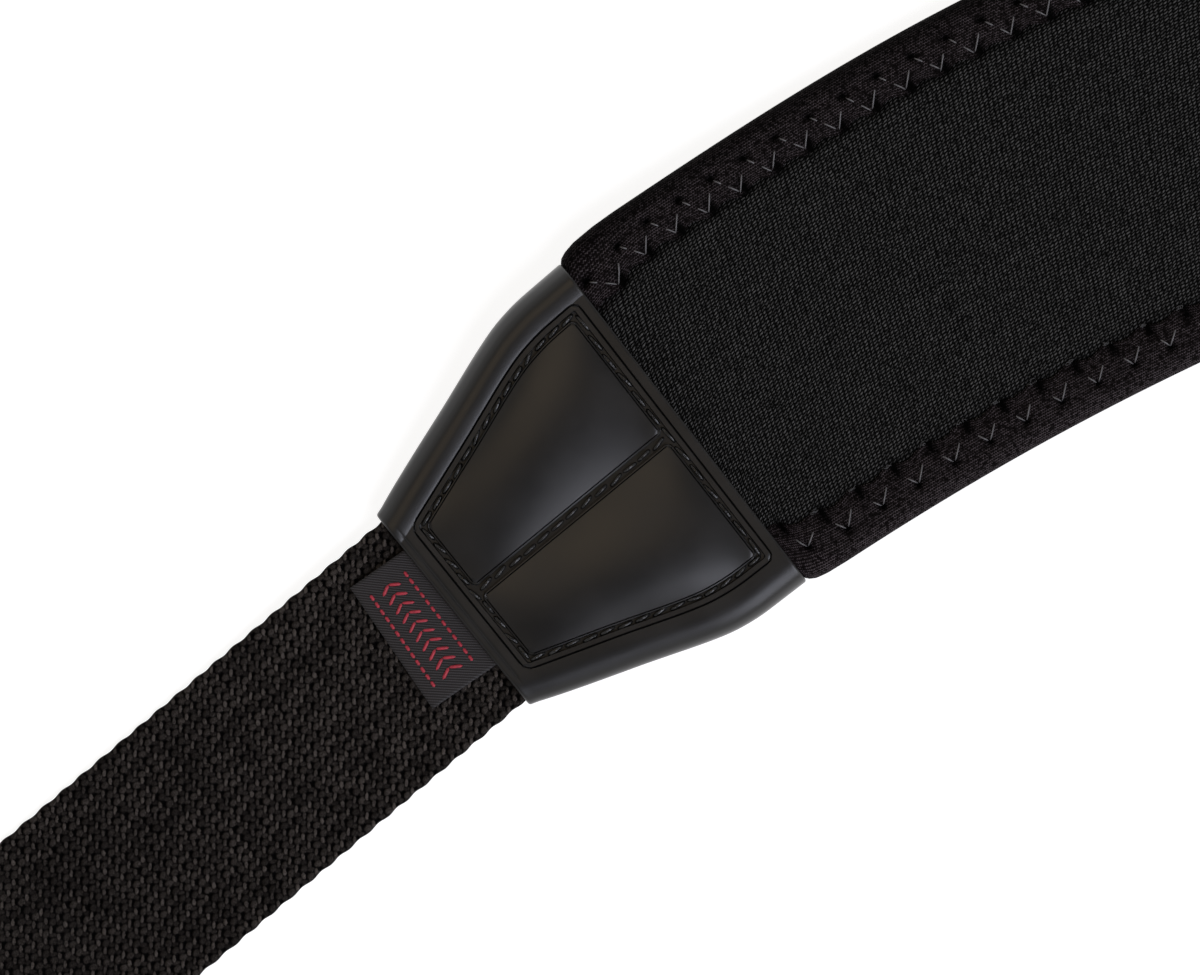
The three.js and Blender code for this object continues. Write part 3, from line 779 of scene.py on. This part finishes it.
def zigzag_paths(side, face):
    """Threads of one seam on the upper face or the lower one. Each is sunk where ARMS says."""
    pitch = ZIGZAG_PITCH[side]
    paths = []
    share = np.linspace(0, 1, 15)
    for mirror in (-1, 1):
        for hole in np.arange(ZIGZAG_START[side] - pitch, PAD_LENGTH / 2, pitch):
            for way, (shares, levels) in zip((0, -1), ARMS[side]):
                start = hole + rng.normal(0, 0.07)
                end = hole + (ZIGZAG_LEAN[side] + way) * pitch + rng.normal(0, 0.12)
                distance = lerp(start, end, share)
                if distance.min() < -1 or distance.max() > PAD_LENGTH / 2:
                    continue
                from_edge = lerp(ZIGZAG_OUTER, ZIGZAG_INNER + rng.normal(0, 0.12), share)
                edge, middle = pad_shape(distance)
                level = np.interp(share + rng.normal(0, 0.03), shares, levels)
                height = tape_top(distance, from_edge, side) + level
                if face < 0:
                    height = np.minimum(height, edge - 0.1)
                place = mirror * (PAD_LENGTH / 2 - distance)
                across = side * across_at(distance, from_edge, side)
                paths.append(on_pad(place, across, middle + face * height))
    return np.array(paths)


def make_zigzag(name, side, material):
    paths = np.concatenate([zigzag_paths(side, 1), zigzag_paths(side, -1)])
    points, faces = tubes(paths, ZIGZAG_THREAD)
    piece = make_piece(name, points, faces, material)


def make_tufts(name, side, material):
    """Frayed ends of yarn where the inner needle holes meet the pad's face."""
    pitch = ZIGZAG_PITCH[side]
    first = ZIGZAG_START[side] + (ZIGZAG_LEAN[side] - 1) * pitch
    t = np.linspace(-1, 1, 7)
    paths = []
    for mirror in (-1, 1):
        for apex in np.arange(first + pitch, PAD_LENGTH / 2, pitch):
            for _ in range(TUFT_YARNS):
                turn = rng.uniform(0, math.pi)
                reach = rng.uniform(0.35, 0.8)
                bow = rng.uniform(-0.35, 0.35) * (1 - t**2)
                distance = apex + 0.15 + rng.normal(0, 0.3)
                distance = distance + reach * t * math.cos(turn) - bow * math.sin(turn)
                from_edge = ZIGZAG_INNER + 0.75 + rng.normal(0, 0.16)
                from_edge = from_edge + 0.45 * reach * t * math.sin(turn) + bow * math.cos(turn)
                _, middle = pad_shape(distance)
                up = middle + foam_top(distance, from_edge, side) + 0.12 + 0.2 * (1 - t**2)
                place = mirror * (PAD_LENGTH / 2 - distance)
                paths.append(on_pad(place, side * across_at(distance, from_edge, side), up))
    points, faces = tubes(np.array(paths), TUFT_THREAD, 5)
    piece = make_piece(name, points, faces, material)


# Caps


def cap_half(along):
    """Half width, with the corners between the stretches of its table rounded off."""
    spread = [np.interp((along + shift) / CAP_LENGTH, *CAP_SPREAD) for shift in (-1.6, -0.6, 0.6, 1.6)]
    return lerp(CAP_NARROW_HALF, CAP_MOUTH_HALF, sum(spread) / 4)


def cap_height(along):
    return lerp(CAP_NARROW_HEIGHT, CAP_MOUTH_HEIGHT, along / CAP_LENGTH)


def cap_inner_half(along):
    return cap_half(along) - lerp(CAP_SIDE_WALL, CAP_WALL, along / CAP_LENGTH)


def cap_outer_half(along):
    """Half width of the outside, a little more than the solid's away from the narrow end."""
    return cap_half(along) + EDGE_FLARE - EDGE_PINCH[0] * np.exp(-along / EDGE_PINCH[1])


def groove_half(along):
    """Distance from the cap's middle to the groove along its side."""
    return cap_half(along) - GROOVE_INSET - GROOVE_PINCH[0] * np.exp(-along / GROOVE_PINCH[1])


def inside_of(corner, *distances):
    """Distance inside an outline from those to its sides, with its corners rounded."""
    distances = np.broadcast_arrays(*distances)
    nearest = np.minimum.reduce(distances)
    short = sum(np.maximum(corner - d, 0) ** 2 for d in distances)
    return np.where(nearest > corner, nearest, corner - np.sqrt(short))


def notch(distance, half):
    """1 on a line and 0 beyond the steep sides of a notch along it."""
    return np.clip(1 - np.abs(distance) / half, 0, 1)


def cap_relief(along, across):
    """Height of a cap's face over its rim, and its tone, painted shade that is 0 in its narrow hollows.
    """
    side = groove_half(along) - np.abs(across)
    narrow = along - CAP_NARROW_RIM
    mouth = CAP_LENGTH - CAP_MOUTH_RIM - along
    groove = inside_of(GROOVE_CORNER, side, narrow, mouth)
    inset = [d - PANEL_INSET for d in (side, narrow, mouth)] + [np.abs(across) - PANEL_HALF_GAP]
    panel = inside_of(PANEL_CORNER, *inset)
    crown = PANEL_CROWN
    for distance, width in zip(inset, PANEL_SLOPES):
        crown = crown * (1 - np.exp(-np.maximum(distance, 0) / width))
    cut = notch(groove, GROOVE_HALF)
    line = notch(panel - PANEL_LINE, 0.12)
    sunk = smoothstep(groove, BAND - 0.06, BAND + 0.06) * smoothstep(-panel, -0.06, 0.06)
    lip = 0.12 * bell(along - LIP_LINE, 0.14)
    height = crown - lip - GROOVE_DEPTH * cut - PANEL_LINE_DEPTH * line - CHANNEL_DEPTH * sunk
    # Painted shade: black in the groove and the panel line, darker in the seam channel.
    return height, 1 - np.maximum(np.maximum(cut, line), CHANNEL_SHADE * sunk)


def under_relief(along, across):
    """How far a cap's underside is sunk along the seam."""
    side = groove_half(along) - np.abs(across)
    narrow = along - CAP_NARROW_RIM
    groove = inside_of(GROOVE_CORNER, side, narrow, CAP_LENGTH - CAP_MOUTH_RIM - along)
    ring = bell(groove - SEAM_INSET, 0.6)
    return 0.9 * np.maximum(ring, bell(across, 0.6) * smoothstep(groove, 0, 1))


def cap_place(along, across, up, outside=True):
    """Point of a cap in the frame of its end. The outside leans, with a crest on one rim."""
    if outside:
        beyond = across - groove_half(along)
        crest = RIM_CREST * np.maximum(1 - (beyond / CREST_REACH - 1) ** 2, 0)
        up = up + crest * (up > cap_height(along) / 2)
        edge = smoothstep(np.abs(across) - groove_half(along), 0, 4)
        across = across + lerp(*CAP_SHIFT, along / CAP_LENGTH)
        across = across + edge * lerp(*EDGE_SHIFT, along / CAP_LENGTH)
    skew = np.radians(lerp(CAP_NARROW_SKEW, CAP_MOUTH_SKEW, along / CAP_LENGTH))
    x = along - CAP_LENGTH + across * np.tan(skew)
    return np.stack(np.broadcast_arrays(x, across, up), -1)


def cap_stations():
    narrow = CAP_NARROW_RIM + FINE
    mouth = CAP_LENGTH - CAP_MOUTH_RIM - FINE[::-1]
    between = np.linspace(narrow[-1] + 0.4, mouth[0] - 0.4, 46)
    ends = np.array([0, 0.05, 0.15, 0.3, 0.5, 0.8, 1.05, 1.2, 1.3, 1.4, 1.55, 1.9, 2.3])
    last = CAP_LENGTH - np.array([1.1, 0.8, 0.5, 0.3, 0.15, 0.05, 0])
    return np.concatenate([ends, narrow, between, mouth, last])


def cap_outer(along):
    """Across, up and painted shade tone of one half of the outside, from the top middle to the bottom
    middle.
    """
    from_end = np.minimum(along, CAP_LENGTH - along)
    short = np.maximum(CAP_END_ROUND - from_end, 0)
    shrink = CAP_END_ROUND - np.sqrt(CAP_END_ROUND**2 - short**2)
    half = cap_outer_half(along)[:, None]
    height = cap_height(along)[:, None]
    shrink = shrink[:, None]
    groove = groove_half(along)[:, None]
    edge = PANEL_HALF_GAP + PANEL_LINE
    middle = np.array([0, 0.3, 0.6, 0.83, 0.97, 1.05, *np.arange(-2, 3) * 0.06 + edge, 1.55, 1.85])[None]
    fine = FINE[None, ::-1]
    between = np.linspace(0, 1, 22)[None, 1:-1]
    body = lerp(middle[:, -1:], groove - fine[:, :1], between)
    face = np.concatenate([middle + 0 * half, body, groove - fine], 1)
    relief, tone = cap_relief(along[:, None], face)
    face_up = height - shrink + relief
    angle = np.radians(np.linspace(86, -90, 27))[None, :]
    out = np.clip(np.cos(angle), 0, 1) ** EDGE_POWER
    lift = np.sign(angle) * np.abs(np.sin(angle)) ** EDGE_POWER
    side = half - CAP_ROUND + (CAP_ROUND - shrink) * out
    side_up = height / 2 + (height / 2 - shrink) * lift
    fine_under = groove - np.arange(-0.6, 2.5, 0.3)[None, :]
    share = np.linspace(0, 1, 10)[None, 1:]
    under_middle = np.arange(2.1, -0.1, -0.3)[None, :] + 0 * half
    under = np.concatenate([fine_under, lerp(fine_under[:, -1:], 2.4, share), under_middle], 1)
    under_up = shrink + under_relief(along[:, None], under)
    tones = [tone, np.ones(side.shape), np.ones(under.shape)]
    rows = [face, side, under], [face_up, side_up, under_up], tones
    return [np.concatenate(row, 1) for row in rows]


def mirrored(half, sign):
    """A ring's values from those of its half, which starts and ends in the middle."""
    return np.concatenate([half, sign * half[:, -2:0:-1]], 1)


def make_cap(name, side, material):
    stations = cap_stations()
    across, up, tone = cap_outer(stations)
    outside = mirrored(across, -1), mirrored(up, 1)
    inner = np.linspace(CAP_LENGTH, 0, 9)
    count = across.shape[1]
    half = cap_inner_half(inner)[:, None]
    middle = cap_height(inner)[:, None] / 2
    room = middle - CAP_WALL
    round_off = lerp(GAP, CAP_ROUND - CAP_WALL, inner / CAP_LENGTH)[:, None]
    flat = count // 2 - 12
    bend = count - 2 * flat
    level = np.linspace(0, 1, flat)[None, :] * (half - round_off)
    angle = np.radians(np.linspace(86, -86, bend))[None, :]
    lining = np.concatenate([level, half - round_off * (1 - np.cos(angle)), level[:, ::-1]], 1)
    lining_up = np.concatenate([room + 0 * level, room * np.sin(angle), -room + 0 * level], 1)
    inside = mirrored(lining, -1), mirrored(middle + lining_up, 1)
    rings = [cap_place(stations[:, None], *outside), cap_place(inner[:, None], *inside, False)]
    # tone paints shade into the face's hollows, 1 on the sides, the underside and the lining.
    tone = np.concatenate([mirrored(tone, 1), np.ones(rings[1].shape[:2])])
    rings = np.concatenate(rings)
    faces = [ring_faces(len(rings), rings.shape[1], loop=True)]
    points = on_end(rings, side)
    piece = make_piece(name + "_shell", points, faces, material, relief=tone, flip=side < 0)
    piece.data.set_sharp_from_angle(angle=math.radians(35))
    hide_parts(name)


def seam_runs():
    """Lines of the cap's seam as functions of a share, with their lengths and stitch pitch."""
    start = CAP_NARROW_RIM + SEAM_INSET
    end = CAP_LENGTH - CAP_MOUTH_RIM - SEAM_INSET

    def edge(share, way):
        along = lerp(start, end, share)
        return along, way * (groove_half(along) - SEAM_INSET)

    def crossing(share, along):
        reach = float(groove_half(np.array(along)) - SEAM_INSET)
        return along + 0 * share, lerp(reach, -reach, share)

    return [
        (lambda t: edge(t, 1), 45, SEAM_PITCH),
        (lambda t: edge(t, -1), 45, SEAM_PITCH),
        (lambda t: crossing(t, end), 52, SEAM_MOUTH_PITCH),
        (lambda t: crossing(t, start), 28, SEAM_PITCH),
        (lambda t: (lerp(start + 0.8, end - 0.6, t), 0 * t), 40, SEAM_PITCH),
    ]


def seam_paths(face):
    """One path for each stitch of a cap's seam, in the left cap's frame."""
    paths = []
    share = np.linspace(0, 1, 15)
    for run, length, pitch in seam_runs():
        count = round(length / pitch)
        for i in range(count):
            t = (i + lerp(0.04, 0.96, share)) / count
            along, across = run(t)
            flow = np.stack([np.gradient(along), np.gradient(across)], -1)
            flow /= np.linalg.norm(flow, axis=-1, keepdims=True)
            sway = rng.normal(0.36, 0.25) * (share - 0.5) + rng.normal(0, 0.12)
            along = along - flow[:, 1] * sway
            across = across + flow[:, 0] * sway
            arch = rng.normal(0.78, 0.1) * np.sin(math.pi * share) ** 0.7 - 0.25
            if face > 0:
                up = cap_height(along) - CHANNEL_DEPTH + arch
            else:
                up = under_relief(along, across) - np.minimum(arch, 0.2)
            paths.append(cap_place(along, across, up))
    return np.array(paths)


def make_seam(name, side, material):
    paths = np.concatenate([seam_paths(1), seam_paths(-1)])
    points, faces = tubes(paths, STITCH_RADIUS)
    piece = make_piece(name, on_end(points, side), faces, material, flip=side < 0)


# Webbing


def weave_height(along, across):
    """Height of the weave, from 0 in its hollows to 1 on the crowns of its yarns."""
    row = np.round(across / WARP_PITCH)
    height = np.zeros(np.broadcast(along, across).shape)
    for near in (-1, 0, 1):
        part = (FLOAT_START - along) / FLOAT_PERIOD - (row + near) / 2
        local = (part - np.round(part)) * FLOAT_PERIOD
        offset = across - (row + near) * WARP_PITCH
        for centre, size, angle, tone in YARNS:
            c, s = math.cos(math.radians(angle)), math.sin(math.radians(angle))
            x = local - centre
            reach = ((x * c + offset * s) / size[0]) ** 2 + ((offset * c - x * s) / size[1]) ** 2
            crown = np.clip(1.1 - reach, 0, 1) ** 0.5 * (0.6 + 0.4 * min(1, 2 * tone))
            height = np.maximum(height, crown)
    return height


def webbing_path():
    """Middle of the webbing seen from its side: points of distance from the cap and height."""
    low = WEBBING_THICKNESS / 2
    over_tail = low + WEBBING_THICKNESS + GAP
    tail_end = WEBBING_LENGTH - TAIL_LENGTH
    slot_start = BAR_CENTRE - RING_BAR / 2 - LOOP_SLACK
    radius = LOOP_INNER_RADIUS + low
    sag = np.linspace(0, SAG_LENGTH, 25)
    angles = np.radians([90, 65, 40, 13, -13, -40, -65, -90])
    points = [(-WEBBING_TUCK, low + CAP_LIFT)]
    points += [(d, low + float(sag_at(d))) for d in sag]
    points += [
        (tail_end - TAIL_RISE, low),
        (tail_end - GAP, over_tail),
        (slot_start - TAIL_RISE, over_tail),
        (slot_start, LOOP_CENTRE_HEIGHT + radius),
    ]
    points += [
        (LOOP_CENTRE + radius * math.cos(a), LOOP_CENTRE_HEIGHT + radius * math.sin(a))
        for a in angles
    ]
    points.append((tail_end, low))
    path = np.array(points)
    for _ in range(2):
        quarter = lerp(path[:-1], path[1:], 0.25)
        three = lerp(path[:-1], path[1:], 0.75)
        inner = np.stack([quarter, three], 1).reshape(-1, 2)
        path = np.concatenate([path[:1], inner, path[-1:]])
    return path


def webbing_columns(count):
    """Places across the webbing and on its face (1), edge (0) or back (-1), all the way round."""
    half = WEBBING_WIDTH / 2
    top = np.linspace(half - 0.3, 0.3 - half, count)
    low = np.linspace(0.3 - half, half - 0.3, count // 4)
    across = np.concatenate([top, [-half], low, [half]])
    level = np.concatenate([np.ones(count), [0], -np.ones(count // 4), [0]])
    return across, level


def halved(values):
    return np.stack([values, (values + np.roll(values, -1)) / 2], -1).ravel()


def webbing_rings(places, across, level):
    """Rings round the webbing at places along it, the cloth's own directions there and a painted shade,
    0 on its edges.
    """
    path = webbing_path()
    lengths = np.concatenate([[0], np.cumsum(np.hypot(*np.diff(path, axis=0).T))])
    distance = np.interp(places, lengths, path[:, 0])
    height = np.interp(places, lengths, path[:, 1])
    slope = np.stack([np.gradient(distance, places), np.gradient(height, places)], -1)
    slope /= np.linalg.norm(slope, axis=-1, keepdims=True)
    across, level = across[None, :], level[None, :]
    along = (places - WEBBING_TUCK)[:, None]
    along = along + 0.12 * np.sin(across * 0.9 + 0.4 * along) + 0.1 * np.sin(across * 2.3)
    raised = weave_height(along, across)
    half = WEBBING_WIDTH / 2
    core = (WEBBING_THICKNESS / 2 - WEAVE_DEPTH) * lerp(0.5, 1, smoothstep(half - abs(across), 0, 1.1))
    off = level * (core + WEAVE_DEPTH * raised)
    wave = SELVEDGE_WAVE * np.cos(2 * math.pi * along / SELVEDGE_PERIOD + 2 * np.sign(across))
    wide = across + np.sign(across) * wave * (1 - abs(level))
    x = -CAP_LENGTH - distance[:, None] + off * slope[:, 1:]
    up = height[:, None] + off * slope[:, :1]
    points = np.stack(np.broadcast_arrays(x, wide, up), -1)
    cloth = np.stack(np.broadcast_arrays(along, wide), -1)
    # abs(level) is painted shade that darkens the webbing's edges.
    return points, cloth, np.abs(level) + 0 * along


def make_webbing(name, side, fine_until, steps, material):
    """Woven strap. Rings have twice the points up to where the photograph ends."""
    path = webbing_path()
    length = float(np.hypot(*np.diff(path, axis=0).T).sum())
    across, level = webbing_columns(76)
    count = len(across)
    far = np.linspace(fine_until, length, round((length - fine_until) / steps[1]))
    parts = [webbing_rings(far, across, level)]
    faces = [ring_faces(len(far), count), end_faces(len(far), count)[1:]]
    if fine_until:
        near = np.linspace(0, fine_until, round(fine_until / steps[0]))[:-1]
        parts.insert(0, webbing_rings(near, halved(across), halved(level)))
        total = 2 * count * len(near)
        faces = [f + total for f in faces]
        faces += [ring_faces(len(near), 2 * count), end_faces(len(near), 2 * count)[:1]]
        i = np.arange(count)
        last = total - 2 * count
        join = [last + 2 * i, last + 2 * i + 1, last + (2 * i + 2) % (2 * count)]
        faces.append(np.stack([*join, total + (i + 1) % count, total + i], -1))
    else:
        faces.append(end_faces(len(far), count)[:1])
    points, cloth, shade = (
        np.concatenate([p[k].reshape(-1, *p[k].shape[2:]) for p in parts]) for k in range(3)
    )
    points = on_end(points, side)
    piece = make_piece(name + "_strap", points, faces, material, cloth, shade, side < 0)
    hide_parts(name)


def make_tail_seam(name, side, material):
    """Box of stitches with a cross in it, over the webbing's folded tail."""
    near = WEBBING_LENGTH - TAIL_LENGTH + TAIL_MARGIN
    far = BAR_CENTRE - TAIL_RISE - RING_BAR
    wide = WEBBING_WIDTH / 2 - TAIL_MARGIN
    corners = [(near, -wide), (near, wide), (far, wide), (far, -wide)]
    lines = [(corners[i], corners[(i + 1) % 4]) for i in range(4)]
    lines += [(corners[0], corners[2]), (corners[1], corners[3])]
    height = 2 * WEBBING_THICKNESS + GAP
    share = np.linspace(0, 1, 9)
    paths = []
    for start, end in lines:
        count = round(math.dist(start, end) / SEAM_PITCH)
        for i in range(count):
            t = (i + lerp(0.06, 0.94, share)) / count
            spot = lerp(np.array(start)[None], np.array(end)[None], t[:, None])
            arch = np.sin(math.pi * share) ** 0.6
            for up in (height + 0.3 * arch - 0.2, 0.35 - 0.25 * arch):
                paths.append(np.stack([-CAP_LENGTH - spot[:, 0], spot[:, 1], up], -1))
    points, faces = tubes(np.array(paths), TAIL_STITCH_RADIUS)
    piece = make_piece(name, on_end(points, side), faces, material, flip=side < 0)


# Rings


def ring_tilt():
    reach = RING_GAP + 1.5 * RING_BAR
    drop = RING_THICKNESS / 2
    return math.asin(LOOP_CENTRE_HEIGHT / math.hypot(reach, drop)) - math.atan2(drop, reach)


def make_ring(name, side, material):
    """Rounded bar swept round a rectangle, tilted so that its far side rests on the surface."""
    inner = WEBBING_WIDTH + 2 * RING_SIDE_PLAY
    half_x = (RING_GAP + RING_BAR) / 2
    half_y = (inner + RING_BAR) / 2
    corner = RING_CORNER - RING_BAR / 2
    turn = np.linspace(0, math.pi / 2, 9)
    centre, outward = [], []
    for quarter, (sx, sy) in enumerate(((1, 1), (-1, 1), (-1, -1), (1, -1))):
        angle = turn + quarter * math.pi / 2
        way = np.stack([np.cos(angle), np.sin(angle)], -1)
        centre.append(np.array([sx * (half_x - corner), sy * (half_y - corner)]) + corner * way)
        outward.append(way)
    centre, outward = np.concatenate(centre), np.concatenate(outward)
    angle = np.arange(20) * math.pi / 10
    square = 0.45
    bar = np.sign(np.cos(angle)) * np.abs(np.cos(angle)) ** square * RING_BAR / 2
    lift = np.sign(np.sin(angle)) * np.abs(np.sin(angle)) ** square * RING_THICKNESS / 2
    flat = centre[:, None, :] + outward[:, None, :] * bar[None, :, None]
    x = flat[..., 0] - half_x
    z = np.broadcast_to(lift, x.shape)
    tilt = ring_tilt()
    points = np.stack(
        [
            x * math.cos(tilt) - z * math.sin(tilt) - CAP_LENGTH - BAR_CENTRE,
            flat[..., 1],
            x * math.sin(tilt) + z * math.cos(tilt) + LOOP_CENTRE_HEIGHT,
        ],
        -1,
    )
    faces = [ring_faces(len(points), len(angle), loop=True)]
    piece = make_piece(name + "_frame", on_end(points, side), faces, material, flip=side > 0)
    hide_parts(name)


# Label


def label_point(share, side):
    """Place on the label: share from its free edge to the cap, side from -1 to 1 across it."""
    turn = math.tan(LABEL_TURN)
    across = LABEL_OFFSET + side * LABEL_WIDTH * math.cos(LABEL_TURN) / 2
    far = -CAP_LENGTH - LABEL_LENGTH + side * LABEL_WIDTH * math.sin(LABEL_TURN) / 2
    near_across = across + (far + CAP_LENGTH) * turn
    near = -CAP_LENGTH + LABEL_TUCK + near_across * math.tan(math.radians(CAP_NARROW_SKEW))
    x = lerp(far, near, share)
    y = lerp(across, near_across, share)
    return x, y, WEBBING_THICKNESS + sag_at(-CAP_LENGTH - x) + 0.12


def make_label(material):
    share = np.linspace(0, 1, 27)[:, None]
    side = np.linspace(-1, 1, 49)[None, :]
    x, y, up = label_point(share, side)
    billow = 0.1 * np.sin(share * math.pi) * (1 + 0.5 * np.cos(3 * side))
    fold = 0.26 * (1 - np.exp(-share * 14))
    base = np.stack(np.broadcast_arrays(x, y, up + 0.22 + billow), -1)
    thick = np.zeros(base.shape)
    thick[..., 2] = 0.06 + fold
    rows, columns = base.shape[:2]
    points = np.concatenate([base + thick, (base - (0, 0, 0.2))[:, ::-1]], 1)
    cloth_u = np.broadcast_to(side * LABEL_WIDTH / 2, (rows, columns))
    cloth_v = np.broadcast_to(share * (LABEL_LENGTH + LABEL_TUCK), (rows, columns))
    cloth = np.stack([cloth_u, cloth_v], -1)
    cloth = np.concatenate([cloth, cloth[:, ::-1]], 1)
    faces = bar_faces(rows, 2 * columns)
    piece = make_piece("woven_label", on_end(points), faces, material, cloth)
    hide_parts("label")


def make_motif(material):
    """Two dashed lines with a row of small chevrons between them, in raised thread."""
    dashes = []
    count, pitch, length = MOTIF_DASH
    for row in MOTIF_LINES:
        for i in range(count):
            start = -0.77 + i * pitch
            dashes.append(((row, start), (row, start + length)))
    count, pitch = MOTIF_CHEVRONS
    for i in range(count):
        middle = -0.7 + i * pitch
        dashes.append(((0.3, middle - 0.05), (0.445, middle + 0.04)))
        dashes.append(((0.445, middle + 0.04), (0.59, middle - 0.05)))
    t = np.linspace(0, 1, 7)
    paths = []
    for (a, b), (c, d) in dashes:
        x, y, up = label_point(lerp(a, c, t), lerp(b, d, t))
        paths.append(np.stack([x, y, up + 0.58 + 0.06 * np.sin(math.pi * t)], -1))
    points, faces = tubes(np.array(paths), MOTIF_THREAD)
    piece = make_piece("label_motif", on_end(points), faces, material)


# Stage


def make_floor():
    reach = 6
    mesh = bpy.data.meshes.new("floor")
    corners = [(-reach, -reach, 0), (reach, -reach, 0), (reach, reach, 0), (-reach, reach, 0)]
    mesh.from_pydata(corners, [], [(0, 1, 2, 3)])
    floor = bpy.data.objects.new("floor", mesh)
    bpy.context.scene.collection.objects.link(floor)
    s = Shader("pale_floor", (0.4, 0.4, 0.4), 0.9, Emission_Strength=0.84)
    s.surface.inputs["Emission Color"].default_value = (1, 1, 1, 1)
    mesh.materials.append(s.material)


def aim(thing, direction, up):
    """Turns a camera or light so that it looks along a direction, with up towards its top."""
    back = -Vector(direction).normalized()
    right = Vector(up).cross(back).normalized()
    top = back.cross(right)
    thing.rotation_mode = "QUATERNION"
    rows = ((right.x, top.x, back.x), (right.y, top.y, back.y), (right.z, top.z, back.z))
    thing.rotation_quaternion = Matrix(rows).to_quaternion()


def photo_target():
    x, y, z = on_end(np.array([*PHOTO_CENTRE, 5.0]))
    return Vector((x * MM, (y + LIFT_Y) * MM, z * MM))


def make_camera():
    camera = bpy.data.cameras.new("camera")
    camera.lens = LENS
    camera.sensor_width = SENSOR
    seen = bpy.data.objects.new("camera", camera)
    bpy.context.scene.collection.objects.link(seen)
    distance = PHOTO_WIDTH * PHOTO_SCALE * MM * LENS / SENSOR
    seen.location = photo_target() + Vector((0, 0, distance))
    aim(seen, (0, 0, -1), (math.sin(PHOTO_ROLL), math.cos(PHOTO_ROLL), 0))
    camera.clip_start = 0.01
    bpy.context.scene.camera = seen


def add_softbox(name, towards, tilt, distance, size, colour, radiance):
    """Square area light that shines on the left end from an image direction and a zenith angle."""
    angle = math.radians(towards) - PHOTO_ROLL
    tilt = math.radians(tilt)
    way = Vector(
        (math.cos(angle) * math.sin(tilt), math.sin(angle) * math.sin(tilt), math.cos(tilt))
    )
    light = bpy.data.lights.new(name, "AREA")
    light.shape = "RECTANGLE"
    light.size, light.size_y = size
    light.energy = radiance * math.pi * size[0] * size[1]
    light.color = colour
    lamp = bpy.data.objects.new(name, light)
    bpy.context.scene.collection.objects.link(lamp)
    lamp.location = photo_target() + way * distance
    aim(lamp, -way, (0, 0, 1) if tilt > 0.1 else (0, 1, 0))


def make_world():
    """White walls round the table under a dark ceiling."""
    world = bpy.data.worlds.new("studio")
    world.use_nodes = True
    nodes, links = world.node_tree.nodes, world.node_tree.links
    direction = nodes.new("ShaderNodeTexCoord").outputs["Generated"]
    parts = nodes.new("ShaderNodeSeparateXYZ")
    links.new(direction, parts.inputs[0])
    ceiling = nodes.new("ShaderNodeMapRange")
    ceiling.interpolation_type = "SMOOTHSTEP"
    links.new(parts.outputs[2], ceiling.inputs[0])
    for socket, number in zip(ceiling.inputs[1:5], CEILING):
        socket.default_value = number
    links.new(ceiling.outputs[0], nodes["Background"].inputs[1])
    nodes["Background"].inputs[0].default_value = (1.0, 0.985, 0.965, 1)
    bpy.context.scene.world = world


def make_lights():
    for softbox in SOFTBOXES:
        add_softbox(*softbox)
    make_world()
    bpy.context.scene.view_settings.view_transform = "Standard"


make_camera()
make_lights()
make_floor()

black_thread = plain_thread(
    "black_thread", (0.0005, 0.0005, 0.0006), (0.003, 0.003, 0.0032), 0.25, relief=0.0003
)
grey_thread = plain_thread("grey_thread", (0.04, 0.039, 0.04), (0.15, 0.145, 0.15), 0.5)
fuzz = plain_thread("fuzz", (0.02, 0.02, 0.02), (0.045, 0.044, 0.045), 0.8)
red_thread = plain_thread("red_thread", (0.2, 0.008, 0.02), (0.6, 0.03, 0.06), 0.55)
make_pad(jersey())
tape = tricot()
make_binding("binding_outer", 1, tape)
make_binding("binding_inner", -1, tape)
make_zigzag("zigzag_outer", 1, grey_thread)
make_zigzag("zigzag_inner", -1, grey_thread)
make_tufts("tufts_inner", -1, fuzz)
cap_rubber = rubber()
yarn = weave()
plastic = ring_plastic()
for end, side in (("left", 1), ("right", -1)):
    make_cap("cap_" + end, side, cap_rubber)
    make_seam("cap_seam_" + end, side, black_thread)
    fine_until, steps = (WEBBING_TUCK + 82, (0.29, 0.7)) if end == "left" else (0, (0, 0.7))
    make_webbing("webbing_" + end, side, fine_until, steps, yarn)
    make_tail_seam("tail_seam_" + end, side, black_thread)
    make_ring("end_ring_" + end, side, plastic)
make_label(satin())
make_motif(red_thread)
